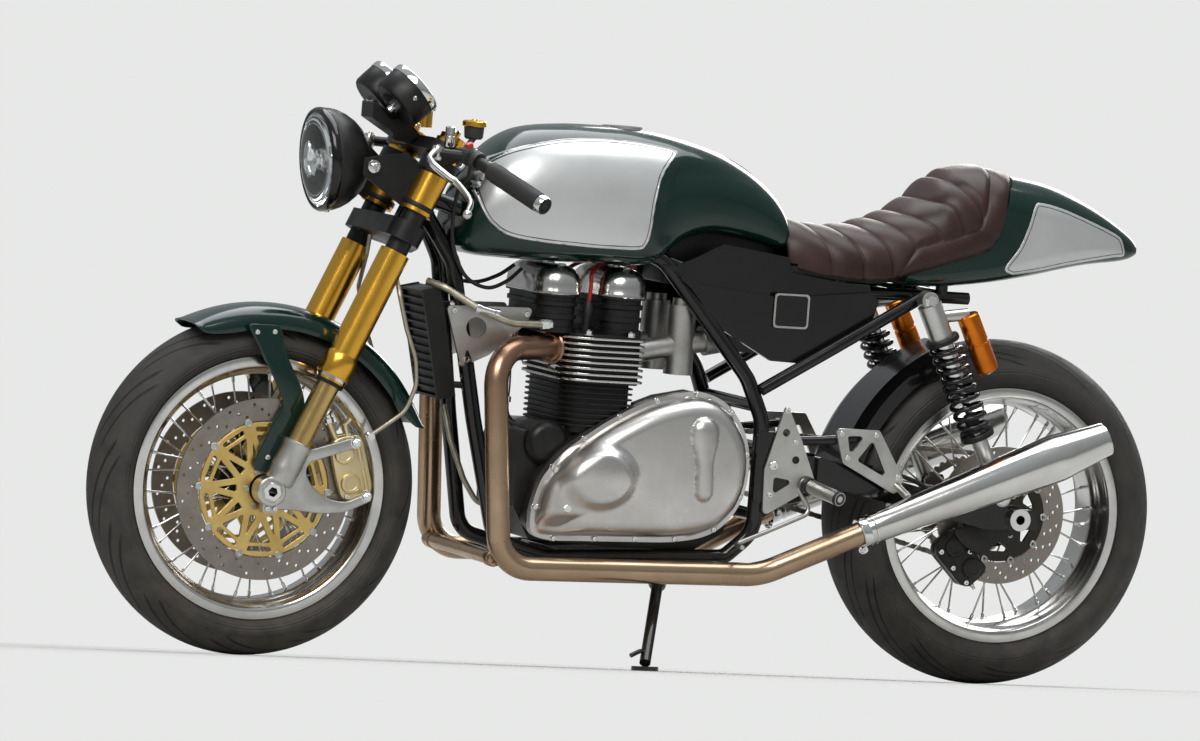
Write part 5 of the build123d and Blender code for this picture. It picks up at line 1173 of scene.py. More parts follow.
def stadium(x, z, half_x, half_y, steps=96):
    """The outline of a long rounded cover, at a height."""
    points = []
    for k in range(steps):
        cosine, sine = math.cos(2 * math.pi * k / steps), math.sin(2 * math.pi * k / steps)
        points.append(Vector((x + half_x * cosine, half_x * sine + math.copysign(half_y - half_x, sine), z)))
    return points


def stacked(bm, x, half_x, half_y, rows):
    """A closed stack of stadium outlines through (height, inset) rows."""
    edges = []
    for z, inset in rows:
        edges += new_ring(bm, stadium(x, z, half_x - inset, half_y - inset))[1]
    bmesh.ops.bridge_loops(bm, edges=edges)
    bmesh.ops.holes_fill(bm, edges=[e for e in edges if e.is_valid and e.is_boundary], sides=0)


def make_cam_covers():
    """The two bright cam covers on their stepped black bases, with their screws and the plug leads."""
    domes, bases, screws, leads, caps = (bmesh.new() for _ in range(5))
    dome = [(0.672, 0.000), (0.6735, -0.0012), (0.678, -0.0012), (0.68, 0.0), (0.69, 0.0005), (0.7, 0.002),
            (0.709, 0.0062), (0.716, 0.0128), (0.7205, 0.0205), (0.723, 0.029), (0.7238, 0.038)]
    base = [(0.6045, 0.004), (0.614, 0.004), (0.615, 0.0085), (0.628, 0.0085), (0.629, 0.0055), (0.637, 0.0055),
            (0.638, 0.0085), (0.65, 0.0085), (0.652, 0.0045), (0.659, 0.0045), (0.66, 0.008), (0.668, 0.008),
            (0.669, 0.0015), (0.6722, 0.001)]
    for x in (-0.187, -0.062):
        stacked(domes, x, 0.0445, 0.104, dome)
        stacked(bases, x, 0.046, 0.105, base)
        for y in (-0.082, -0.028, 0.028, 0.082):
            turned(screws, (x, y, 0.7232), (0, 0, 1), [(0, 0.0072), (0.0025, 0.007), (0.0035, 0.0058),
                    (0.0035, 0.0032), (0.0015, 0.003), (0.0015, 0)], 20)
    for y in (-0.06, 0.06):
        turned(caps, (-0.1245, y, 0.604), (0.05, 0, 1), [(0, 0.0075), (0.03, 0.0075), (0.034, 0.009), (0.05, 0.0085),
                (0.058, 0.005), (0.06, 0.0)], 20)
        rod(leads, smooth_path([(-0.1216, y, 0.655), (-0.12, y * 1.02, 0.69), (-0.116, y * 0.9, 0.714),
                (-0.08, y * 0.5, 0.731), (-0.02, y * 0.3, 0.7245)], 6), 0.0038, 10)
    fitted("Cam_cover_domes", domes, "frame_body", polished_alloy, ["engine_rocker_covers"])
    fitted("Cam_cover_bases", bases, "frame_body", black_satin)
    fitted("Cam_cover_screws", screws, "frame_body", bright_chrome)
    fitted("Plug_caps", caps, "frame_body", black_plastic)
    fitted("Plug_leads", leads, "frame_body", red_plastic, smooth=50)


COVER_OUTLINE = [(-0.233, 0.272), (-0.228, 0.312), (-0.214, 0.352), (-0.18, 0.396), (-0.138, 0.43), (-0.09, 0.462),
        (-0.02, 0.497), (0.055, 0.515), (0.105, 0.508), (0.142, 0.482), (0.168, 0.44), (0.178, 0.392), (0.172, 0.338),
        (0.15, 0.294), (0.11, 0.262), (0.045, 0.247), (-0.05, 0.243), (-0.13, 0.241), (-0.19, 0.24), (-0.224, 0.248)]


def cover_height(point, rim_distance):
    """How far the primary cover's skin stands out from the engine's middle at a point (x, z)."""
    x, z = point
    lobe = max(eased_step((x + 0.185) / 0.05), eased_step((z - 0.262) / 0.035))
    share = max(0.0, min(1.0, (rim_distance - 0.0095) / 0.03))
    body = 0.034 * math.sqrt(1 - (1 - share) ** 2) * (0.3 + 0.7 * lobe)
    crown = 0.0075 * max(0.0, 1 - ((x + 0.015) / 0.2) ** 2 - ((z - 0.372) / 0.135) ** 2)
    reach = math.hypot((x + 0.122) * 0.82, z - 0.357)
    dome = 0.016 * eased_step((0.064 - reach) / 0.026) + 0.006 * math.cos(math.pi / 2 * min(1.0, reach / 0.05))
    t = max(0.0, min(1.0, (z - 0.34) / 0.108))
    away = math.hypot(x - (0.078 - 0.006 * t), z - (0.34 + 0.108 * t))
    width = 0.0165 + 0.009 * eased_step((t - 0.45) / 0.45)
    rib = 0.015 * math.sqrt(max(0.0, 1 - (away / width) ** 2)) if away < width else 0.0
    return 0.14 + body + crown + dome + rib


def make_primary_cover():
    """The polished primary cover: a flange with its screws, a crowned body, a round dome and an upright rib."""
    rim = smooth_outline(COVER_OUTLINE, 240)
    close = smooth_outline(COVER_OUTLINE, 3600)
    tree = KDTree(len(close))
    for index, point in enumerate(close):
        tree.insert((point.x, point.y, 0), index)
    tree.balance()
    centre = Vector((-0.02, 0.37))
    bm = bmesh.new()
    edges = []
    for step in range(70):
        share = 1 - step / 70 * 0.995
        points = []
        for point in rim:
            flat = centre + (point - centre) * share
            gap = tree.find((flat.x, flat.y, 0))[2]
            points.append(Vector((flat.x, -cover_height(flat, gap), flat.y)))
        edges += new_ring(bm, points)[1]
    edges += new_ring(bm, [Vector((point.x, -0.1222, point.y)) for point in rim])[1]
    bmesh.ops.bridge_loops(bm, edges=edges)
    close_holes(bm)
    fitted("Primary_cover", bm, "frame_body", satin_alloy, ["engine_primary_cover"], smooth=45)
    screws = bmesh.new()
    for index in range(14):
        point = rim[int(index * len(rim) / 14 + 5)]
        inward = (centre - point).normalized()
        spot = point + inward * 0.0055
        turned(screws, (spot.x, -0.1385, spot.y), (0, -1, 0), [(0, 0.0068), (0.0022, 0.0066), (0.0026, 0.0058)], 16)
        cap_screw(screws, (spot.x, -0.1405, spot.y), (0, -1, 0), 0.0046, 0.0042)
    turned(screws, (-0.176, -0.172, 0.3), (0, -1, 0), [(0, 0.0085), (0.002, 0.0083), (0.003, 0.007), (0.003, 0)], 6)
    fitted("Primary_cover_screws", screws, "frame_body", bright_chrome)


def make_right_covers():
    """Screws of the covers on the engine's right side and on the crankcase."""
    screws = bmesh.new()
    for x, z in ((-0.205, 0.306), (-0.192, 0.262), (-0.13, 0.256), (-0.07, 0.258), (-0.036, 0.302), (-0.044, 0.366),
            (-0.104, 0.42), (-0.17, 0.414)):
        cap_screw(screws, (x, 0.1375, z), (0, 1, 0), 0.0048, 0.004)
    for x, z in ((0.008, 0.276), (0.062, 0.266), (0.072, 0.33), (0.07, 0.404), (0.03, 0.42), (0.004, 0.376)):
        cap_screw(screws, (x, 0.1295, z), (0, 1, 0), 0.0048, 0.004)
    fitted("Right_cover_screws", screws, "frame_body", bright_chrome)


# Rear shocks
SHOCK_Y, SHOCK_BOLT_Y = 0.163, 0.1768


def shock_point(side, down, back=0.0):
    """A point by its distance down a shock from the upper eye, and to its rear."""
    top, low = Vector((0.489, side * SHOCK_Y, 0.703)), Vector((0.662, side * SHOCK_Y, 0.356))
    way = (low - top).normalized()
    return top + way * down + Vector((-way.z, 0, way.x)) * back


def make_shocks():
    """Wound springs, damper rods, bump rubbers, collars and the piggyback cans with their caps."""
    coils, rods, collars, bolts, cans, rubbers = (bmesh.new() for _ in range(6))
    for side in (-1, 1):
        way = (shock_point(side, 1) - shock_point(side, 0)).normalized()
        back = Vector((-way.z, 0, way.x))
        helix = []
        turns, per = 9.5, 22
        for k in range(int(turns * per) + 1):
            t = k / (turns * per)
            angle = 2 * math.pi * turns * t
            helix.append(shock_point(side, 0.0855 + 0.173 * t) + back * (0.0262 * math.cos(angle))
                    + Vector((0, 1, 0)) * (0.0262 * math.sin(angle)))
        rod(coils, helix, 0.0047, 10)
        rod(rods, [shock_point(side, 0.07), shock_point(side, 0.262)], 0.007, 20)
        turned(rods, shock_point(side, 0.08), way, [(0, 0.0), (0, 0.0175), (0.07, 0.0175), (0.072, 0.015),
                (0.072, 0)], 32)
        turned(rubbers, shock_point(side, 0.222), way, [(0, 0.0075), (0.002, 0.0125), (0.01, 0.0105), (0.014, 0.0135),
                (0.024, 0.0125), (0.028, 0.015), (0.036, 0.014)], 24)
        for down in (0.0735, 0.2605):
            turned(collars, shock_point(side, down), way, [(0, 0.02), (0, 0.0302), (0.0015, 0.0312), (0.0085, 0.0312),
                    (0.01, 0.0302), (0.01, 0.02)], 24)
        for down in (0.0, 0.3877):
            spot = shock_point(side, down) + Vector((0, side * (SHOCK_BOLT_Y - SHOCK_Y), 0))
            turned(bolts, spot, (0, side, 0), [(0, 0.013), (0.0018, 0.013), (0.002, 0.0105), (0.008, 0.0105),
                    (0.0092, 0.0092), (0.0092, 0)], 6)
        top = shock_point(side, 0.056, 0.062)
        turned(cans, top, way, [(-0.001, 0.0), (-0.001, 0.017), (0.001, 0.0198), (0.004, 0.0205), (0.05, 0.0205),
                (0.051, 0.019), (0.055, 0.019), (0.056, 0.0205), (0.104, 0.0205), (0.108, 0.0195), (0.1105, 0.0165),
                (0.1105, 0)], 48)
        turned(bolts, top + way * 0.1103, way, [(0, 0.009), (0.003, 0.009), (0.004, 0.008), (0.004, 0.0035),
                (0.002, 0.0035), (0.002, 0)], 16)
    fitted("Shock_coils", coils, "frame_body", black_gloss, ["shock_springs"], smooth=50)
    fitted("Shock_dampers", rods, "frame_body", bright_chrome)
    fitted("Shock_bump_rubbers", rubbers, "frame_body", rubber, smooth=40)
    fitted("Shock_spring_collars", collars, "frame_body", black_satin)
    fitted("Shock_bolts", bolts, "frame_body", bright_chrome)
    fitted("Shock_cans", cans, "frame_body", orange_alloy, ["shock_reservoirs"])


front_ring_steel = disc_finish("Front disc ring steel", FRONT_AXLE, 0.0, (0.3, 0.27, 0.24))
satin_alloy = finish("Satin polished alloy", (0.68, 0.66, 0.64), (0.58, 0.56, 0.54), 1.0, 0.26, 0.38, patch=9.0,
        grain=0.01, dust=0.3, dust_top=0.45)
gold_spider = finish("Gold anodised spider", (0.8, 0.57, 0.2), (0.68, 0.46, 0.15), 1.0, 0.28, 0.42, patch=18.0,
        grain=0.05, dust=0.15, dust_top=0.6)
header_finish = header_pipe_finish()
head_fins = fin_finish("Black fins with bright edges", black_satin)
make_front_discs()
make_front_calipers()
make_fork_lugs()
make_cam_covers()
make_primary_cover()
make_right_covers()
make_shocks()


# Exhaust
def bent(points, radii, steps=14):
    """A path of straight runs joined by round bends."""
    points = [Vector(p) for p in points]
    path = [points[0]]
    for before, corner, after, radius in zip(points, points[1:], points[2:], radii):
        a_way, b_way = (before - corner).normalized(), (after - corner).normalized()
        turn = math.pi - a_way.angle(b_way)
        reach = radius * math.tan(turn / 2)
        hold = 4 / 3 * math.tan(turn / 4) / math.tan(turn / 2)
        a, b = corner + a_way * reach, corner + b_way * reach
        c, d = a.lerp(corner, hold), b.lerp(corner, hold)
        path += [a * (1 - t) ** 3 + c * 3 * t * (1 - t) ** 2 + d * 3 * t * t * (1 - t) + b * t**3
                for t in (k / steps for k in range(steps + 1))]
    return path + [points[-1]]


def make_headers():
    """The two header pipes, their balance pipe and the collars at its ends."""
    bm = bmesh.new()
    for side in (-1, 1):
        route = [(-0.178, side * 0.068, 0.577), (-0.33, side * 0.158, 0.574), (-0.299, side * 0.177, 0.19),
                (0.195, side * 0.185, 0.199), (0.378, side * 0.2135, 0.286)]
        rod(bm, bent(route, [0.066, 0.062, 0.13]), 0.0212, 40)
        turned(bm, (-0.303, side * 0.14, 0.205), (0, side, 0), [(0, 0.013), (0, 0.0152), (0.018, 0.0152),
                (0.02, 0.013)], 28)
    rod(bm, [(-0.303, -0.17, 0.205), (-0.303, 0.17, 0.205)], 0.013, 28)
    fitted("Header_pipes", bm, "frame_body", header_finish, ["exhaust_headers"], smooth=50)


# Cylinders
def fin_outline(front, rear, half_y, front_radius, rear_radius, steps=10):
    """The outline of a cooling fin seen from above, with wide front corners."""
    points = []
    for x, y, radius, start in ((rear, half_y, rear_radius, 0), (front, half_y, front_radius, 90),
            (front, -half_y, front_radius, 180), (rear, -half_y, rear_radius, 270)):
        centre = (x - math.copysign(radius, 1 if x == rear else -1), y - math.copysign(radius, y))
        for k in range(steps + 1):
            angle = math.radians(start + 90 * k / steps)
            points.append((centre[0] + radius * math.cos(angle), centre[1] + radius * math.sin(angle)))
    return points


def make_cylinders():
    """The finned head and barrels, the ports, the starter motor and the thin front pipe."""
    head, barrel, core, ports, stubs, pipe, starter = (bmesh.new() for _ in range(7))
    for index in range(8):
        slab(head, fin_outline(-0.184, -0.031, 0.132, 0.062, 0.018), (0, 0, 0.5225 + 0.0106 * index), 0.0042, 0.001,
                2, BACK, SIDEWAYS)
        slab(barrel, fin_outline(-0.177, -0.044, 0.122, 0.056, 0.016), (0, 0, 0.442 + 0.0098 * index), 0.003, 0.0006,
                1, BACK, SIDEWAYS)
    slab(core, fin_outline(-0.176, -0.039, 0.124, 0.056, 0.012), (0, 0, 0.519), 0.087, 0.001, 2, BACK, SIDEWAYS)
    slab(core, fin_outline(-0.17, -0.051, 0.115, 0.05, 0.012), (0, 0, 0.43), 0.09, 0.001, 2, BACK, SIDEWAYS)
    for side in (-1, 1):
        way = Vector((-0.152, side * 0.09, -0.003)).normalized()
        turned(stubs, (-0.176, side * 0.067, 0.577), way, [(0, 0.027), (0.012, 0.027), (0.014, 0.029), (0.02, 0.029),
                (0.022, 0.0262), (0.027, 0.0248), (0.028, 0.0205)], 48)
        for lift in (-0.032, 0.032):
            hex_nut(ports, Vector((-0.176, side * 0.067, 0.577 + lift)) + way * 0.012, way, 0.006, 0.007)
    for x in (-0.14, -0.06):
        for y in (-0.116, 0.116):
            hex_nut(ports, (x, y, 0.6045), (0, 0, 1), 0.0085, 0.008)
    rod(pipe, smooth_path([(-0.176, 0.005, 0.56), (-0.226, 0.005, 0.562), (-0.238, 0.005, 0.548),
            (-0.238, 0.005, 0.5), (-0.238, 0.005, 0.456), (-0.226, 0.005, 0.436), (-0.2, 0.005, 0.426)], 8), 0.0055,
            16)
    turned(pipe, (-0.238, 0.005, 0.47), (0, 0, 1), [(0, 0.0055), (0, 0.008), (0.01, 0.008), (0.01, 0.0055)], 6)
    rows = [(0.0, 0.0), (0.0, 0.026), (0.004, 0.034), (0.01, 0.038)]
    for index in range(7):
        rows += [(0.013 + 0.01 * index, 0.04), (0.018 + 0.01 * index, 0.04), (0.019 + 0.01 * index, 0.0365),
                (0.022 + 0.01 * index, 0.0365)]
    turned(starter, (-0.196, -0.112, 0.408), (0, 1, 0), rows + [(0.12, 0.038), (0.12, 0.0)], 48)
    fitted("Head_fins", head, "frame_body", head_fins, ["engine_head"])
    fitted("Barrel_fins", barrel, "frame_body", black_satin, ["engine_barrel"])
    fitted("Cylinder_core", core, "frame_body", black_satin)
    fitted("Exhaust_port_stubs", stubs, "frame_body", header_finish)
    fitted("Cylinder_nuts", ports, "frame_body", bright_chrome)
    fitted("Front_breather_pipe", pipe, "frame_body", polished_steel, smooth=40)
    fitted("Starter_motor", starter, "frame_body", black_satin)


# Chain
def make_chain():
    """The drive chain link by link, and the toothed rear sprocket."""
    rear, front = Vector((REAR_AXLE.x, REAR_AXLE.z)), Vector((0.14, 0.396))
    rear_radius, front_radius, pin_pairs_apart = 0.098, 0.042, 0.03175
    way = front - rear
    heading, spreading = math.atan2(way.y, way.x), math.acos((rear_radius - front_radius) / way.length)
    line = []

    def on_sprocket(centre, radius, angle):
        return centre + Vector((radius * math.cos(angle), radius * math.sin(angle)))

    # each sprocket's arc and the straight run to the next one's start
    arcs = ((front, front_radius, heading + spreading, -2 * spreading),
            (rear, rear_radius, heading - spreading, -2 * (math.pi - spreading)))
    for (centre, radius, start, turn), (ahead, its_radius, its_start, _) in zip(arcs, reversed(arcs)):
        line += [on_sprocket(centre, radius, start + turn * k / 14) for k in range(15)]
        line += [line[-1].lerp(on_sprocket(ahead, its_radius, its_start), k / 12) for k in range(1, 12)]
    length = sum((b - a).length for a, b in zip(line, line[1:] + line[:1]))
    pins = smooth_outline(line, 2 * round(length / pin_pairs_apart))
    bm = bmesh.new()
    plate = [(-0.012, 0.0), (-0.01, 0.0048), (-0.005, 0.0048), (0.0, 0.0034), (0.005, 0.0048), (0.01, 0.0048),
            (0.012, 0.0), (0.01, -0.0048), (0.005, -0.0048), (0.0, -0.0034), (-0.005, -0.0048), (-0.01, -0.0048)]
    for index, (a, b) in enumerate(zip(pins, pins[1:] + pins[:1])):
        middle, along_link = (a + b) / 2, Vector(((b - a).x, 0, (b - a).y)).normalized()
        across = Vector((-along_link.z, 0, along_link.x))
        for y in ((0.1, 0.1084) if index % 2 else (0.0978, 0.1106)):
            slab(bm, plate, (middle.x, y, middle.y), 0.0016, 0.0, 2, along_link, across)
        turned(bm, (a.x, 0.0972, a.y), (0, 1, 0), [(0, 0.0), (0, 0.0024), (0.0118, 0.0024), (0.0118, 0.0)], 8)
    fitted("Chain_links", bm, "frame_body", disc_steel, ["drive_chain"])
    bm = bmesh.new()
    teeth = [polar(0.0912 if k % 4 < 2 else 0.087, 360 * (k + 0.4 * (k % 4 in (0, 2))) / 156) for k in range(156)]
    windows = [rounded([polar(0.079, 60 * k - 17), polar(0.079, 60 * k + 17), polar(0.062, 60 * k + 17),
            polar(0.062, 60 * k - 17)], 0.006) for k in range(6)]
    pierced(bm, [teeth, ring_points(0.03, 48)] + windows, REAR_AXLE + Vector((0, 0.1061, 0)), 0.0056)
    for k in range(6):
        x, z = polar(0.05, 60 * k + 30)
        hex_nut(bm, REAR_AXLE + Vector((x, 0.106, z)), (0, 1, 0), 0.0078, 0.006)
    fitted("Rear_sprocket_teeth", bm, "rear_wheel", disc_steel, ["rear_sprocket"])


# Handlebar and fork details
def make_controls():
    """Levers, grip ribs, bar ends, the fluid cup, fork rings and collars, and the cables to the engine."""
    levers, chrome, dark, red, rings, gold = (bmesh.new() for _ in range(6))
    for side in (-1, 1):
        root = Vector((-0.476, side * 0.172, 0.912))
        path = smooth_path([root, (-0.492, side * 0.192, 0.897), (-0.47, side * 0.222, 0.874),
                (-0.456, side * 0.24, 0.862), (-0.448, side * 0.286, 0.836), (-0.458, side * 0.304, 0.818)], 6)
        rod(levers, path, [0.007 - 0.0026 * k / (len(path) - 1) for k in range(len(path))], 16, 1.55, (0, 0, 1))
        bmesh.ops.create_uvsphere(levers, u_segments=20, v_segments=12, radius=0.0082,
                matrix=Matrix.Translation((-0.46, side * 0.307, 0.814)))
        turned(levers, root + Vector((0, 0, -0.012)), (0.2, 0, 1),
                [(0, 0), (0, 0.0095), (0.002, 0.0105), (0.022, 0.0105), (0.024, 0.0095), (0.024, 0.0048),
                (0.027, 0.0044), (0.027, 0)], 24)
        start, end = Vector((-0.425, side * 0.172, 0.916)), Vector((-0.34, side * 0.34, 0.843))
        way = (end - start).normalized()
        for reach in (0.01, 0.03):
            turned(dark, start + way * reach, way, [(0, 0.0112), (0, 0.0165), (0.001, 0.0172), (0.011, 0.0172),
                    (0.012, 0.0165), (0.012, 0.0112)], 32)
        for reach in (0.016, 0.036):
            cap_screw(chrome, start + way * reach + Vector((-0.004, 0, 0.0165)), UP, 0.0042, 0.004)
        turned(chrome, end - way * 0.001, way, [(0, 0.011), (0, 0.0152), (0.0015, 0.0164), (0.012, 0.0164),
                (0.0145, 0.015), (0.015, 0.012), (0.015, 0.007), (0.0135, 0.0066)], 40)
        turned(dark, end + way * 0.0126, way, [(0, 0.007), (0.001, 0.0066), (0.001, 0)], 24)
        for rib in range(26):
            turned(dark, end - way * (0.116 - 0.0043 * rib), way, [(0, 0.0168), (0.0006, 0.0176), (0.0022, 0.0176),
                    (0.0028, 0.0168)], 24)
        if side < 0:
            cup = Vector((-0.393, -0.134, 0.938))
            turned(dark, cup, (0, 0, 1), [(0, 0.0), (0, 0.013), (0.003, 0.0165), (0.022, 0.018), (0.023, 0.018)], 36)
            turned(gold, cup + Vector((0, 0, 0.0225)), (0, 0, 1), [(0, 0.018), (0, 0.0205), (0.001, 0.0212),
                    (0.008, 0.0212), (0.0095, 0.02), (0.0105, 0.017), (0.0105, 0.006), (0.0125, 0.005), (0.0125, 0)],
                    40)
            rod(dark, [cup + Vector((0, -0.004, 0.004)), (-0.412, -0.15, 0.922), (-0.424, -0.16, 0.916)], 0.0055, 12)
            turned(red, (-0.419, -0.186, 0.9265), (-0.35, -0.25, 0.9),
                    [(0, 0.0075), (0.004, 0.0075), (0.007, 0.006), (0.008, 0.0)], 24)
            turned(chrome, (-0.438, -0.136, 0.922), (0, 0, 1), [(0, 0.0), (0, 0.0082), (0.002, 0.009), (0.018, 0.009),
                    (0.019, 0.007), (0.022, 0.007), (0.023, 0.0086), (0.034, 0.0086), (0.036, 0.007), (0.036, 0)], 28)
        leg = fork_point(0.008, side * 0.1, 0.0)
        up = fork_point(0.008, side * 0.1, 1.0) - leg
        for height in (0.4742, 0.53):
            turned(rings, leg + up * height, up, [(0, 0.0201), (0, 0.0209), (0.022, 0.0209), (0.022, 0.0201)], 40)
        turned(rings, leg + up * 0.559, up, [(0, 0.0296), (0, 0.0303), (0.001, 0.0306), (0.008, 0.0306),
                (0.009, 0.0303), (0.009, 0.0296)], 48)
        turned(rings, leg + up * 0.625, up, [(0, 0.0271), (0, 0.0276), (0.004, 0.0276), (0.004, 0.0271)], 48)
        turned(rings, leg + up * 0.213, up, [(0, 0.0216), (0, 0.0262), (0.006, 0.0272), (0.0075, 0.0268)], 48)
        turned(gold, leg + up * 0.229, up, [(0, 0.0268), (0.0, 0.0298), (0.002, 0.031), (0.03, 0.031), (0.036, 0.03),
                (0.042, 0.028), (0.044, 0.0268)], 56)
        turned(chrome, leg + up * 0.2235, up, [(0, 0.0271), (0, 0.0276), (0.006, 0.0276), (0.006, 0.0271)], 48)
        for height in (0.504, 0.521, 0.668, 0.678):
            cap_screw(chrome, leg + up * height + Vector((-0.02, side * -0.03, 0.004)), (0, -side, 0), 0.0042, 0.005)
        turned(chrome, leg + up * 0.71, up, [(0, 0.009), (0.004, 0.0086), (0.005, 0.007), (0.005, 0)], 16)
    fitted("Lever_blades", levers, "steering", polished_alloy, ["control_levers"], smooth=40)
    fitted("Handlebar_brightwork", chrome, "steering", bright_chrome)
    fitted("Handlebar_clamps_and_ribs", dark, "steering", black_plastic)
    fitted("Fork_collars_and_fluid_cap", gold, "steering", gold_fork)
    fitted("Switch_button", red, "steering", red_plastic, smooth=40)
    fitted("Fork_black_rings", rings, "steering", black_satin)
    bm = bmesh.new()
    turned(bm, fork_point(0.04, 0, 0.684), fork_point(0.04, 0, 1.0) - fork_point(0.04, 0, 0.684),
            [(0, 0.02), (0.006, 0.02), (0.007, 0.016), (0.013, 0.016), (0.015, 0.012), (0.015, 0)], 6)
    fitted("Steering_stem_nut", bm, "steering", bright_chrome)
    # the cables run between the bars and the frame, on no body
    left = [(-0.428, -0.186, 0.92), (-0.416, -0.186, 0.908), (-0.402, -0.148, 0.874), (-0.401, -0.108, 0.852),
            (-0.396, -0.074, 0.808), (-0.388, -0.062, 0.748), (-0.358, -0.054, 0.694), (-0.312, -0.044, 0.674),
            (-0.27, -0.03, 0.686), (-0.24, -0.024, 0.71)]
    right = [(-0.416, 0.186, 0.908), (-0.402, 0.148, 0.872), (-0.401, 0.108, 0.85), (-0.395, 0.074, 0.802),
            (-0.385, 0.06, 0.74), (-0.352, 0.05, 0.69), (-0.306, 0.04, 0.678), (-0.266, 0.028, 0.692),
            (-0.236, 0.022, 0.714)]
    for name, points in (("Clutch_cable", left), ("Throttle_cable", right)):
        bm = bmesh.new()
        rod(bm, smooth_path(points, 10), 0.0035, 12)
        cable = fitted(name, bm, None, rubber, ["control_cables"] if name == "Clutch_cable" else [], smooth=50)
        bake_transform(cable)


